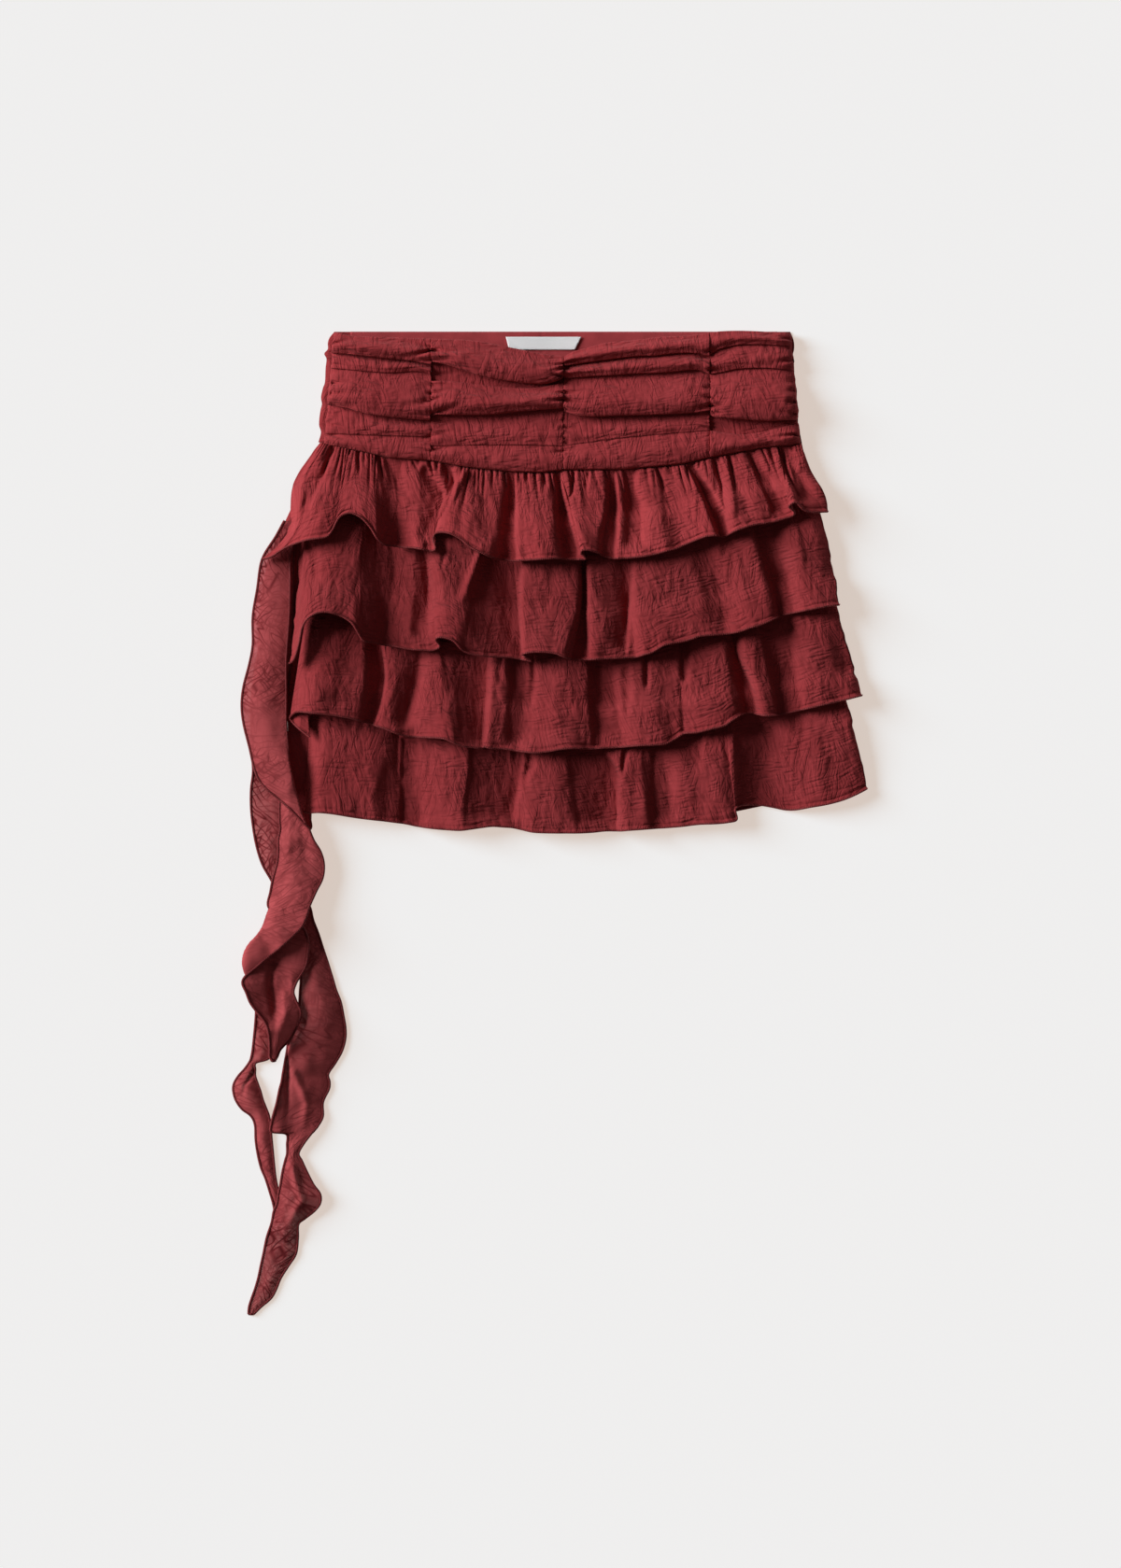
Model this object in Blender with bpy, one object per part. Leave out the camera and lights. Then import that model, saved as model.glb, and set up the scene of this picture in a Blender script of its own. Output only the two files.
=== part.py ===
"""Tiered ruffle mini skirt of crinkled gauze, laid flat on its back, with its side ties beside it.

X runs across the skirt, Y up it towards the waist, and Z up from the surface that it lies on. The
origin is on that surface, under the middle of the skirt. Sizes are in millimetres until a mesh is made.
"""

import bpy
import numpy as np

MM = 0.001

# Cloth
WALL = 1.0  # thickness of every wall
GAP = 0.3  # between two pieces that meet or lie on each other
SEAM_GAP = 1.0  # from a seam down to the first ruffle's front and to the base under it

# Heights of the layers that lie flat, each at the middle of its wall
BACK_LAYER = WALL / 2
FACING_LAYER = BACK_LAYER + WALL + GAP
LABEL_LAYER = FACING_LAYER + WALL + GAP
BASE_BACK_LAYER = 3.1
BASE_FRONT_LAYER = 5.5
BASE_SIDE_LAYER = 4.4  # the front of the base where it comes down to the side seams
BASE_SIDE_TURN = 12.0  # width of that slope

# Ruched yoke
YOKE_INSIDE = 4.2  # height of its plain inner face
YOKE_SIDE_INSIDE = 1.3  # the same at the side seams
YOKE_SIDE_TURN = 18.0  # width over which it comes down
CREASE_HALF = 0.8  # half the width of a crease's steep side
PUFF = 0.35  # how far a puff bulges above its edges
PINCH = 0.3  # share of the relief that is left at a panel's seams
YOKE_COLUMNS = 8

# Ruffles
LIFT_SCALE = 1.15  # of every wave in the tables below
GATHER_HEIGHT = 1.5  # of the small gathers under the yoke
GATHER_REACH = 0.16  # share of the ruffle's height over which they fade
FOLD_STEPS = 2  # mesh columns from one row of a table to the next

# Side ties
TURN_RADIUS = 1.6  # of the fold where a tie turns over

# How a piece drapes over what lies under it
CELL = 2.0
FIELD_LOW = (-270.0, -570.0)
FIELD_HIGH = (250.0, 210.0)
SPREAD_CELLS = 5
SOFTEN_CELLS = 2

# Colours (linear) and roughness
BRICK = (0.30, 0.042, 0.048)
BRICK_DEEP = (0.23, 0.032, 0.038)
WHITE = (0.86, 0.86, 0.87)
CLOTH_ROUGHNESS = 0.9
LABEL_ROUGHNESS = 0.6

# Yoke panels: left and right edges, each at the waist and at the seam, and the lines across it.
# A line has its Y at the panel's left, middle and right, and the relief just above and just below it.
YOKE_PANELS = {
    "yoke_side_left": {
        "left": (-175.5, -183.0),
        "right": (-101.7, -101.7),
        "lines": [
            (189.0, 186.0, 184.0, 0.0, 2.0),
            (174.5, 170.5, 167.0, 4.0, 1.5),
            (162.5, 161.0, 157.5, 3.2, 2.0),
            (135.5, 127.5, 123.0, 5.0, 0.8),
            (113.0, 111.0, 110.0, 2.6, 2.0),
            (105.5, 95.5, 91.5, 2.5, 0.0),
        ],
    },
    "yoke_front_left": {
        "left": (-101.4, -101.4),
        "right": (-1.4, -1.4),
        "lines": [
            (184.0, 179.5, 171.0, 0.0, 2.0),
            (167.5, 154.0, 155.5, 5.0, 0.5),
            (150.5, 146.5, 150.5, 0.5, 3.2),
            (126.5, 127.5, 132.0, 5.5, 0.8),
            (103.0, 103.5, 103.0, 3.0, 2.3),
            (91.0, 84.0, 85.0, 2.5, 0.0),
        ],
    },
    "yoke_front_right": {
        "left": (-1.1, -1.1),
        "right": (109.5, 109.5),
        "lines": [
            (171.0, 182.5, 188.0, 0.0, 2.0),
            (164.5, 171.5, 172.0, 3.5, 2.0),
            (155.0, 158.5, 159.0, 4.0, 2.0),
            (130.0, 126.5, 130.0, 5.5, 0.8),
            (103.0, 110.0, 114.5, 2.8, 2.4),
            (85.0, 86.0, 93.5, 2.5, 0.0),
        ],
    },
    "yoke_side_right": {
        "left": (109.8, 109.8),
        "right": (171.5, 178.5),
        "lines": [
            (188.5, 190.0, 188.5, 0.0, 2.0),
            (173.0, 180.5, 179.5, 3.0, 1.5),
            (158.5, 162.0, 160.5, 3.2, 2.0),
            (127.0, 123.0, 124.0, 5.0, 0.8),
            (113.5, 110.5, 119.0, 0.8, 3.0),
            (94.0, 101.0, 105.0, 2.5, 0.0),
        ],
    },
}

# The back of the yoke: its outline from the waist down, as Y, left and right, and its lower seam
YOKE_BACK_OUTLINE = [
    (190.0, -175.5, 171.0),
    (182.0, -180.0, 173.0),
    (162.0, -182.0, 174.0),
    (140.0, -184.5, 176.0),
    (106.5, -187.5, 180.0),
]
FACING_LEFT, FACING_RIGHT = -163.0, 161.0
FACING_TOP, FACING_BOTTOM = 190.0, 146.0
LABEL_TOP = (186.0, -45.0, 12.5)  # Y, left, right
LABEL_BOTTOM = (176.2, -42.5, 7.5)

# The seams that the ruffles hang from, as X and Y
SEAMS = {
    1: [
        (-187, 106), (-174, 103), (-152, 98.5), (-131, 93.5), (-101, 91.5), (-74, 86.5), (-39, 83),
        (-18, 82.5), (0, 84.5), (46, 85), (89, 89), (110, 94), (146, 101), (180, 105),
    ],
    2: [(-201, 62), (-162, 60), (-89, 44), (0, 36), (82, 43), (169, 64), (190, 67)],
    3: [(-194, -12), (-145, -19), (-74, -30), (0, -35), (82, -30), (160, -15), (203, -6)],
    4: [(-188, -84), (-145, -91), (-74, -103), (0, -108), (82, -103), (160, -89), (212, -81)],
}

# Front ruffles, one row for each crest or trough of the cloth, from left to right: X at the seam,
# X and Y at the hem, height of the wave at the hem, and how far the line between them bends.
# Where X at the hem steps back, the cloth folds over itself.
FOLDS = {
    1: [
        (-186, -230, 16.5, 0.5, 9), (-183, -222, 18.5, 3, 8), (-179, -211, 25.5, 7, 5),
        (-174, -195, 30.5, 10, 2), (-169.5, -181, 32.5, 8, 0), (-166, -176, 37.5, 5, 0),
        (-162.5, -170.5, 47.5, 6, 0), (-157.5, -162.5, 51, 9, 0), (-152.5, -154, 47.5, 10, 0),
        (-147.5, -147, 40, 9, 0), (-144, -142, 32, 6, 0), (-140.5, -136.5, 27.5, 2.5, 0),
        (-135.5, -128.5, 26.5, 2, 0), (-130.5, -121.5, 25.5, 5, 0), (-124, -114.5, 25, 9, 0),
        (-116.5, -107, 23.5, 10, 0), (-108.5, -102, 22.5, 9.5, 0), (-101, -98, 24, 8, 0),
        (-91.5, -100, 31, 4, 0), (-84.5, -97.5, 36, 2.5, 0), (-76.5, -89, 36, 2, 0),
        (-72.5, -80, 32, 4, 0), (-66.5, -71.5, 25, 7.5, 0), (-60.5, -62.5, 20.5, 9, 0),
        (-54, -54, 17, 7, 0), (-48.5, -46, 16, 3.5, 0), (-42, -40, 15, 2.5, 0),
        (-36, -33.5, 15, 6, 0), (-30, -25, 15.5, 10, 0), (-22, -15, 16, 10, 0),
        (-15, -6.5, 16.5, 6, 0), (-9, 2, 16, 3, 0), (-5.5, 10.5, 16, 3, 0),
        (-3.5, 15.5, 16.5, 4.5, 0), (-1.5, 12, 20.5, 8, 0), (2, 14, 23, 11, 0),
        (8.5, 22, 22, 12, 0), (16.5, 30.5, 18.5, 9, 0), (25, 37.5, 17, 5, 0),
        (32, 44, 17, 4, 0), (39, 52, 17.5, 8, 0), (47.5, 60.5, 18.5, 9.5, 0),
        (56, 68, 20, 7, 0), (64, 75.5, 22, 8.5, 0), (71.5, 83, 24, 7, 0),
        (79, 90, 27, 8, 0), (86, 98.5, 30.5, 10, 0), (91.5, 107, 33.5, 10.5, 0),
        (95, 115, 34, 8, 0), (98.5, 118, 33.5, 4, 0), (104.5, 121.5, 34, 2.5, 0),
        (111.5, 128.5, 37.5, 5, 0), (118.5, 136.5, 40.5, 8, 0), (125.5, 144, 42.5, 5.5, 0),
        (133.5, 151, 43.5, 8, 0), (140.5, 158.5, 45, 5, 0), (147, 165.5, 47, 5, 0),
        (153.5, 172.5, 49.5, 4, 0), (158.5, 173, 52.5, 6, 0), (162.5, 169, 56, 9, 0),
        (167, 174, 59, 11, 0), (171, 179.5, 54, 7, 0), (174.5, 185.5, 52, 4.5, 0),
        (179, 199, 52.5, 0.5, 2),
    ],
    2: [
        (-201, -208, -62.5, 0.5, 2), (-198, -204.5, -59, 3, 1.5), (-195, -201, -49, 6, 0),
        (-192.5, -197.5, -34, 10, 0), (-188, -189.5, -26.5, 14, 0), (-182, -179.5, -24, 16, 0),
        (-174.5, -169.5, -26.5, 15, 0), (-169, -161, -32, 11, 0), (-164.5, -155.5, -40.5, 6, 0),
        (-160, -152, -45.5, 3, 0), (-152.5, -144, -47, 2, 0), (-145.5, -135.5, -48.5, 3, 0),
        (-140, -128.5, -49.5, 7, 0), (-134, -121.5, -51, 8, 0), (-128, -115, -52, 4, 0),
        (-120, -107, -52.5, 2.5, 0), (-113, -99.5, -52.5, 4, 0), (-108.5, -94.5, -49.5, 5, 0),
        (-106, -97.5, -44.5, 8, 0), (-101.5, -93, -43, 11, 0), (-94.5, -84.5, -45.5, 11, 0),
        (-84.5, -77.5, -52.5, 7, 0), (-77.5, -70.5, -55.5, 3.5, 0), (-70.5, -60.5, -57, 2, 0),
        (-62, -50.5, -57.5, 4, 0), (-53, -40.5, -58, 5, 0), (-47.5, -32, -59.5, 5, 0),
        (-43.5, -25.5, -60.5, 5.5, 0), (-40.5, -32.5, -56.5, 9, 0), (-35, -27.5, -54.5, 12, 0),
        (-25, -18, -54, 13, 0), (-13.5, -8, -55, 13, 0), (-2, -1.5, -57.5, 12, 3.5),
        (6.5, 3, -59, 9.5, 6.5), (10, 5, -59.5, 3, 5.5), (13, 12, -59.5, 2.5, 2),
        (16.5, 22, -59.5, 8, 0), (22, 30.5, -59, 6, 0), (28.5, 39, -58.5, 3, 0),
        (35.5, 47.5, -58, 3, 0), (42.5, 56, -57.5, 8, 0), (51, 65.5, -54, 10, 0),
        (60.5, 74.5, -49, 10, 0), (69, 83, -47, 7, 0), (77.5, 93, -45, 8, 0),
        (86, 101.5, -42, 6, 0), (94.5, 111.5, -41, 4, 0), (104.5, 123, -40, 6, 0),
        (114.5, 131.5, -38.5, 7, 0), (123, 138.5, -36, 8, 0), (130, 147, -33.5, 7, 0),
        (135.5, 155.5, -30, 5, 0), (140, 162.5, -26.5, 2, 0), (147, 170.5, -24.5, 3, 0),
        (157, 181, -22.5, 8, 0), (168.5, 191, -20.5, 9, 0), (178, 199.5, -19, 7, 0),
        (189.5, 207.5, -18, 0.5, 1.5),
    ],
    3: [
        (-194, -208.5, -103.5, 0.5, 0), (-191, -205, -100, 5, 0), (-186.5, -201, -99, 9, 0),
        (-179.5, -191, -100, 11, 0), (-171, -177.5, -101.5, 11, 0), (-160, -164, -103.5, 9, 1.5),
        (-148.5, -152.5, -106.5, 8.5, 3), (-140, -145.5, -108.5, 8, 3), (-136.5, -142, -110, 4, 2),
        (-132, -135.5, -112, 5, 0), (-127, -128.5, -115, 5.5, 0), (-121.5, -121.5, -117, 3, 0),
        (-114.5, -112, -118, 3, 0), (-107, -103, -118.5, 7, 0), (-99.5, -93, -119.5, 8, 0),
        (-92.5, -84.5, -123, 5, 0), (-85, -77.5, -125, 2.5, 0), (-76, -69.5, -126, 2, 0),
        (-66, -63, -126.5, 3.5, 0), (-59.5, -61, -125.5, 7, 2), (-55.5, -56, -126.5, 9, 0),
        (-49, -47.5, -127, 7, 0), (-40.5, -36, -129, 4, 0), (-31, -25, -130, 5, 0),
        (-21.5, -13.5, -129, 8, 0), (-11.5, -2, -127, 10, 0), (-0.5, 10.5, -126.5, 9, 0),
        (7, 19, -127, 5, 0), (14, 27, -126.5, 2.5, 0), (22, 35.5, -126, 4, 0),
        (30.5, 44.5, -125.5, 8, 0), (40.5, 56, -124.5, 9, 0), (51, 67.5, -124, 8, 0),
        (60.5, 76, -123, 6, 0), (67.5, 83, -119.5, 3, 0), (74.5, 90, -115.5, 4, 0),
        (83, 100, -114.5, 7, 0), (93, 110, -112, 7, 0), (101.5, 120, -109.5, 5, 0),
        (108, 127, -105, 3, 0), (112, 133.5, -101, 2.5, 0), (117, 140.5, -99.5, 4, 0),
        (123, 146.5, -101, 7.5, 0), (130.5, 152.5, -102, 8.5, 0), (138.5, 160, -101.5, 6, 0),
        (147, 167, -100, 3, 0), (157, 174, -98.5, 4.5, 0), (168.5, 185.5, -96, 8, 0),
        (179.5, 198, -93, 9, 0), (189.5, 211, -90, 6, 0), (202.5, 224.5, -86.5, 0.5, 0),
    ],
    4: [
        (-191, -199, -175, 0.5, 0), (-187.5, -194.5, -175.5, 4, 0), (-182, -187, -175, 7, 0),
        (-174, -176, -176, 9, 0), (-164, -164, -178, 8, 0), (-155, -154, -179.5, 7, 0),
        (-146.5, -145.5, -180.5, 7, 0), (-137.5, -136.5, -181.5, 4, 0), (-130.5, -129, -182.5, 2.5, 0),
        (-123.5, -121.5, -183.5, 3, 0), (-115.5, -112, -185.5, 6, 0), (-107, -101.5, -187, 9, 0),
        (-97.5, -90, -188, 9.5, 0), (-87.5, -79.5, -188.5, 7, 0), (-78, -71, -187.5, 3.5, 0),
        (-71.5, -64, -186.5, 3, 0), (-64, -55.5, -185.5, 6, 0), (-56, -47, -186, 5, 0),
        (-49, -40, -186.5, 3, 0), (-41, -31, -188, 5, 0), (-32, -21.5, -190, 9, 0),
        (-20.5, -9, -190.5, 9, 0), (-10.5, 0.5, -190.5, 6, 0), (-1.5, 10.5, -190.5, 3, 0),
        (9, 20.5, -190, 2.5, 0), (20, 30.5, -189, 3.5, 0), (29, 37, -189, 4, 0),
        (35.5, 40.5, -189, 8, 0), (40, 46, -188.5, 10, 0), (47.5, 56, -188, 9, 0),
        (54, 62.5, -187.5, 5, 0), (59.5, 69, -187, 3, 0), (67.5, 77.5, -186.5, 5, 0),
        (77.5, 89, -185.5, 7, 0), (89, 101.5, -184, 8, 0), (101.5, 114.5, -183.5, 10, 0),
        (111.5, 124, -182.5, 11, 0), (118.5, 130, -180.5, 9, 0), (123, 129, -172.5, 4, 0),
        (128.5, 135, -169.5, 2.5, 0), (138.5, 147, -169.5, 2.5, 0), (148.5, 157, -171, 3.5, 0),
        (158.5, 167, -173, 6, 0), (168.5, 175.5, -173, 9, 0), (178, 186.5, -171, 10, 0),
        (188, 198, -169, 9, 0), (196.5, 209.5, -166, 6, 0), (204.5, 219.5, -162, 4, 0),
        (211.5, 229.5, -157, 0.5, 0),
    ],
}

# How each front ruffle hangs: the share of its height at each row of the mesh, how early the waves
# rise from the seam (a lower power is earlier), and whether its side lines bend once or twice.
HANG = {
    1: {"rows": (0, 0.07, 0.22, 0.45, 0.72, 1), "power": 0.75, "bends": 2},
    2: {"rows": (0, 0.2, 0.45, 0.72, 1), "power": 1.2, "bends": 1},
    3: {"rows": (0, 0.2, 0.45, 0.72, 1), "power": 1.2, "bends": 1},
    4: {"rows": (0, 0.2, 0.45, 0.72, 1), "power": 1.2, "bends": 1},
}

# Back ruffles, which lie flat: X at the seam, and X and Y at the hem
BACK_HEMS = {
    1: [
        (-185, -223, 24), (-148, -150, 28), (-75, -76, 26), (0, 0, 25), (75, 78, 31),
        (140, 152, 46), (178, 196, 54),
    ],
    2: [
        (-205, -212, -58), (-150, -150, -46), (-75, -72, -53), (0, 4, -56), (75, 84, -46),
        (140, 152, -30), (188, 205, -17),
    ],
    3: [
        (-208, -213, -104), (-197, -207, -107), (-189, -202, -112), (-184, -197, -114),
        (-178, -191, -116.5), (-145, -148, -114), (-75, -72, -122), (0, 6, -124), (75, 86, -116),
        (140, 156, -98),
        (201, 222, -87),
    ],
    4: [
        (-212, -207, -186), (-199, -198, -188.5), (-191, -193, -187), (-188, -190, -172),
        (-145, -148, -174), (-75, -72, -182), (0, 8, -186), (75, 88, -181), (140, 158, -168),
        (210, 226, -154),
    ],
}
BACK_ROWS = (0, 0.1, 0.2, 0.3, 0.4, 0.55, 0.78, 1)

# The base that the ruffles are sewn to, from the first seam to the last: its X at each
BASE_TOP = (-178, 172)
BASE_LOW = (-180, 198)
BASE_ROWS = (0, 0.33, 0.66, 1)

# Side ties. The plain ones: Y, left edge, right edge, rise of the middle.
NARROW_TIE = [
    (-262, -226, -214, 0.5), (-280, -231, -219, 0.5), (-296, -233, -222, 0.5), (-314, -234.5, -223, 0.5), (-331.5, -235, -223.5, 1),
    (-353, -237, -223.5, 2), (-362, -238.5, -225, 2), (-365.5, -240, -235, 1),
    (-370.5, -243.5, -235.5, 2), (-375.5, -248, -235.5, 4), (-381.5, -251.5, -233.5, 6),
    (-387, -252, -231.5, 7), (-394, -250, -229.5, 7), (-400.5, -245.5, -227, 5),
    (-406, -238.5, -225, 3), (-413, -235.5, -224, 3), (-424, -235, -223, 4),
    (-434.5, -233.5, -222, 3), (-445, -231, -221, 3), (-453.5, -227.5, -220, 3),
    (-463, -224.5, -218, 2), (-473.5, -221.5, -215, 1), (-486.5, -219.5, -213, 0.5),
]
LONG_TIE = [
    (43, -212, -204.5, 0.5), (30.5, -218.5, -205, 0.5), (15, -225, -205.5, 0.5),
    (-19, -231, -206, 1), (-54.5, -233, -207.5, 1), (-90, -238, -211, 1),
    (-125.5, -238, -213, 1), (-144, -237, -215, 2), (-157.5, -238.5, -216, 3),
    (-172, -238.5, -216.5, 4), (-186, -237, -217, 4), (-200, -234.5, -217.5, 4),
    (-214.5, -230, -216.5, 3), (-227, -223, -211, 1), (-237, -218.5, -201, 1),
    (-247, -214.5, -194, 1), (-257, -211, -191.5, 1.5), (-267.5, -207.5, -187.5, 2),
    (-278.5, -204, -184, 3), (-289, -201.5, -180.5, 4), (-302, -200.5, -176.5, 5),
    (-310.5, -201, -174, 6), (-319.5, -201.5, -170.5, 7), (-329.5, -202.5, -168.5, 7),
    (-338.5, -205, -167, 7), (-347, -209.5, -167, 7), (-356.5, -211, -169.5, 6),
    (-365.5, -212.5, -174.5, 6), (-374, -214, -180, 5), (-380, -215, -179, 5),
    (-385.5, -216.5, -179.5, 5), (-395.5, -218.5, -184, 5), (-406, -221.5, -184, 5),
    (-413, -223, -187.5, 5), (-417.5, -222.5, -191, 4), (-419.5, -211.5, -193, 4),
    (-427.5, -211, -199, 4), (-434.5, -211, -202.5, 3), (-440, -212.5, -200, 4),
    (-448.5, -214.5, -196, 5), (-458, -216, -191, 6), (-465, -217.5, -186, 6),
    (-472, -218.5, -186, 6), (-478, -221, -190.5, 5), (-483.5, -222, -197.5, 4),
    (-488, -223, -202.5, 4), (-498.5, -226.5, -203, 4), (-510.5, -229, -204.5, 4),
    (-519.5, -231, -210, 3), (-529, -233, -216, 3), (-537.5, -235.5, -219.5, 2),
    (-544.5, -238, -223.5, 1.5), (-551, -240, -231, 1), (-556.5, -240.5, -236.5, 0.5),
]
TIE_COLUMNS = 4

# The short tie turns over twice: Y, X of its upper layer's free edge, of the fold, and of its lower
# layer's free edge, the height between the two layers, and the rise of the middle.
SHORT_TIE = [
    (46, -213, -205, -205, 0, 1), (34, -219.5, -205, -205, 0, 1),
    (16.5, -230, -208.5, -208.5, 0, 2), (-5, -233.5, -208.5, -208.5, 0, 4),
    (-26.5, -237, -209, -209, 0, 5), (-47.5, -237, -210.5, -210.5, 0, 4),
    (-62, -239.5, -211.5, -211.5, 0, 4), (-79.5, -244, -211.5, -211.5, 0, 5),
    (-93.5, -245.5, -211.5, -211.5, 0, 6), (-108, -244, -211.5, -211.5, 0, 5),
    (-125.5, -239.5, -210, -210, 1, 4), (-136.5, -237, -208.5, -209.5, 3, 4),
    (-143.5, -235, -207, -211, 3.6, 3), (-150.5, -232, -205.5, -213, 3.6, 2),
    (-157.5, -226, -204, -215, 3.6, 2), (-164.5, -217.5, -202, -216, 3.6, 1),
    (-171, -210, -200.5, -216.5, 3.6, 1), (-178, -203, -198.5, -216.5, 3.6, 1),
    (-183, -198.5, -196.5, -216.5, 3.4, 1), (-187.5, -194, -194, -216, 2, 2),
    (-196.5, -190.5, -190.5, -217.5, 0, 4), (-205, -185.5, -185.5, -217.5, 0, 5),
    (-214.5, -183, -183, -218.5, 0, 6), (-225, -184, -184, -221.5, 0, 6),
    (-235.5, -189, -189, -223.5, 0, 5), (-247, -194, -225, -225, 0, 4),
    (-254, -196, -227, -214, 2, 3), (-261.5, -199.5, -229.5, -200, 3.6, 3),
    (-268.5, -206, -234, -196, 3.6, 2), (-275, -213, -240, -194.5, 3.6, 2),
    (-282, -221.5, -243.5, -195, 3.6, 1), (-289, -230, -244.5, -196, 3.6, 1),
    (-294.5, -236.5, -243.5, -198, 2, 1), (-299.5, -242, -242, -201, 0, 1),
    (-304.5, -244, -244, -204, 0, 1), (-311.5, -241, -241, -206, 0, 1),
    (-319, -238, -238, -203.5, 0, 1), (-326, -233, -233, -200.5, 0, 1),
    (-333, -227.5, -227.5, -201.5, 0, 1), (-340, -224.5, -224.5, -204.5, 0, 1),
    (-347, -223.5, -223.5, -208.5, 0, 1), (-354.5, -223.5, -223.5, -215.5, 0, 1),
    (-360, -223.5, -223.5, -218, 0, 1), (-363.5, -222, -222, -220, 0, 0.5),
]
SHORT_TIE_COLUMNS = 8


def clear_scene():
    for obj in list(bpy.data.objects):
        bpy.data.objects.remove(obj)


def cloth_material(name, colour, roughness):
    material = bpy.data.materials.new(name)
    material.use_nodes = True
    shader = material.node_tree.nodes["Principled BSDF"]
    shader.inputs["Base Color"].default_value = (*colour, 1.0)
    shader.inputs["Roughness"].default_value = roughness
    shader.inputs["Metallic"].default_value = 0.0
    return material


def smooth(t):
    """Eases from 0 to 1 as t does."""
    t = np.clip(t, 0.0, 1.0)
    return t * t * (3.0 - 2.0 * t)


def through(rows, steps):
    """A smooth curve through the rows of a table, with steps points from each row to the next."""
    rows = np.array(rows, dtype=float)
    ends = np.vstack([2 * rows[0] - rows[1], rows, 2 * rows[-1] - rows[-2]])
    points = []
    for i in range(len(rows) - 1):
        before, start, end, after = ends[i : i + 4]
        for t in np.arange(steps) / steps:
            points.append(
                0.5
                * (
                    2 * start
                    + (end - before) * t
                    + (2 * before - 5 * start + 4 * end - after) * t**2
                    + (3 * start - before - 3 * end + after) * t**3
                )
            )
    points.append(rows[-1])
    return np.array(points)


class Pile:
    """The height of all that has been laid so far, on a square grid over the surface."""

    def __init__(self):
        self.low = np.array(FIELD_LOW)
        size = np.ceil((np.array(FIELD_HIGH) - self.low) / CELL).astype(int)
        self.height = np.zeros(size)
        self.draped = self.height

    def copy(self):
        other = Pile()
        other.height = self.height.copy()
        other.draped = self.draped.copy()
        return other

    def lay(self, grid):
        """Adds a wall's upper face, a grid of points."""
        points = grid
        for axis in (0, 1):
            gaps = np.linalg.norm(np.diff(points[:, :, :2], axis=axis), axis=2)
            cuts = int(np.ceil(gaps.max() / (CELL / 2)))
            ends = np.arange(points.shape[axis])
            places = np.linspace(0, ends[-1], ends[-1] * cuts + 1)
            first = np.minimum(places.astype(int), ends[-1] - 1)
            share = places - first
            share = share[:, None, None] if axis == 0 else share[None, :, None]
            points = points.take(first, axis) * (1 - share) + points.take(first + 1, axis) * share
        cells = ((points[:, :, :2] - self.low) / CELL).astype(int).reshape(-1, 2)
        np.maximum.at(self.height, (cells[:, 0], cells[:, 1]), points[:, :, 2].ravel())
        self.drape()

    def drape(self):
        """Spreads the heights outwards and softens them, as cloth bridges an edge."""
        spread = self.height
        for axis in (0, 1):
            near = [np.roll(spread, k, axis) for k in range(-SPREAD_CELLS, SPREAD_CELLS + 1)]
            spread = np.max(near, axis=0)
        for axis in (0, 1):
            near = [np.roll(spread, k, axis) for k in range(-SOFTEN_CELLS, SOFTEN_CELLS + 1)]
            spread = np.mean(near, axis=0)
        self.draped = spread

    def rest(self, x, y):
        """Height of the middle of a wall that lies on the pile at each X and Y."""
        places = (np.stack([x, y], axis=-1) - self.low) / CELL - 0.5
        cell = np.floor(places).astype(int)
        share = places - cell
        i, j = cell[..., 0], cell[..., 1]
        s, t = share[..., 0], share[..., 1]
        near = self.draped
        under = (near[i, j] * (1 - s) + near[i + 1, j] * s) * (1 - t)
        under = under + (near[i, j + 1] * (1 - s) + near[i + 1, j + 1] * s) * t
        return np.where(under > 0, under + GAP * smooth(under / GAP), 0.0) + WALL / 2


def merged(one, other):
    """A pile with what lies on either of two."""
    both = one.copy()
    both.height = np.maximum(one.height, other.height)
    both.drape()
    return both


def wall_faces(middle):
    """The upper and lower faces of a wall round a grid of points, square to it."""
    along = np.gradient(middle, axis=0)
    down = np.gradient(middle, axis=1)
    normal = np.cross(down, along)
    normal /= np.linalg.norm(normal, axis=2, keepdims=True)
    return middle + normal * WALL / 2, middle - normal * WALL / 2


def level_faces(middle):
    """The upper and lower faces of a wall that lies level."""
    half = np.array([0.0, 0.0, WALL / 2])
    return middle + half, middle - half


def make_piece(name, upper, lower, material):
    """One closed wall between two grids of points, as an object."""
    rows, columns = upper.shape[:2]
    index = np.arange(rows * columns).reshape(rows, columns)
    under = index + rows * columns
    faces = []
    for i in range(rows - 1):
        for j in range(columns - 1):
            faces.append((index[i, j], index[i, j + 1], index[i + 1, j + 1], index[i + 1, j]))
            faces.append((under[i, j], under[i + 1, j], under[i + 1, j + 1], under[i, j + 1]))
    rim = [index[i, 0] for i in range(rows)]
    rim += [index[-1, j] for j in range(1, columns)]
    rim += [index[i, -1] for i in range(rows - 2, -1, -1)]
    rim += [index[0, j] for j in range(columns - 2, 0, -1)]
    for a, b in zip(rim, rim[1:] + rim[:1]):
        faces.append((a, b, b + rows * columns, a + rows * columns))
    points = np.concatenate([upper.reshape(-1, 3), lower.reshape(-1, 3)]) * MM
    mesh = bpy.data.meshes.new(name)
    mesh.from_pydata(points.tolist(), [], [tuple(int(k) for k in face) for face in faces])
    mesh.materials.append(material)
    mesh.shade_smooth()
    obj = bpy.data.objects.new(name, mesh)
    bpy.context.scene.collection.objects.link(obj)
    return obj


def seam_height(tier, x):
    """Y of a ruffle's seam at each X."""
    stations = np.array(SEAMS[tier])
    return np.interp(x, stations[:, 0], stations[:, 1])


def seam_places(tier, left, right, more=()):
    """X of each corner of a seam between two ends, with more places in between."""
    corners = [x for x, _ in SEAMS[tier] if left < x < right]
    return np.array(sorted({left, right, *corners, *more}), dtype=float)


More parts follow.
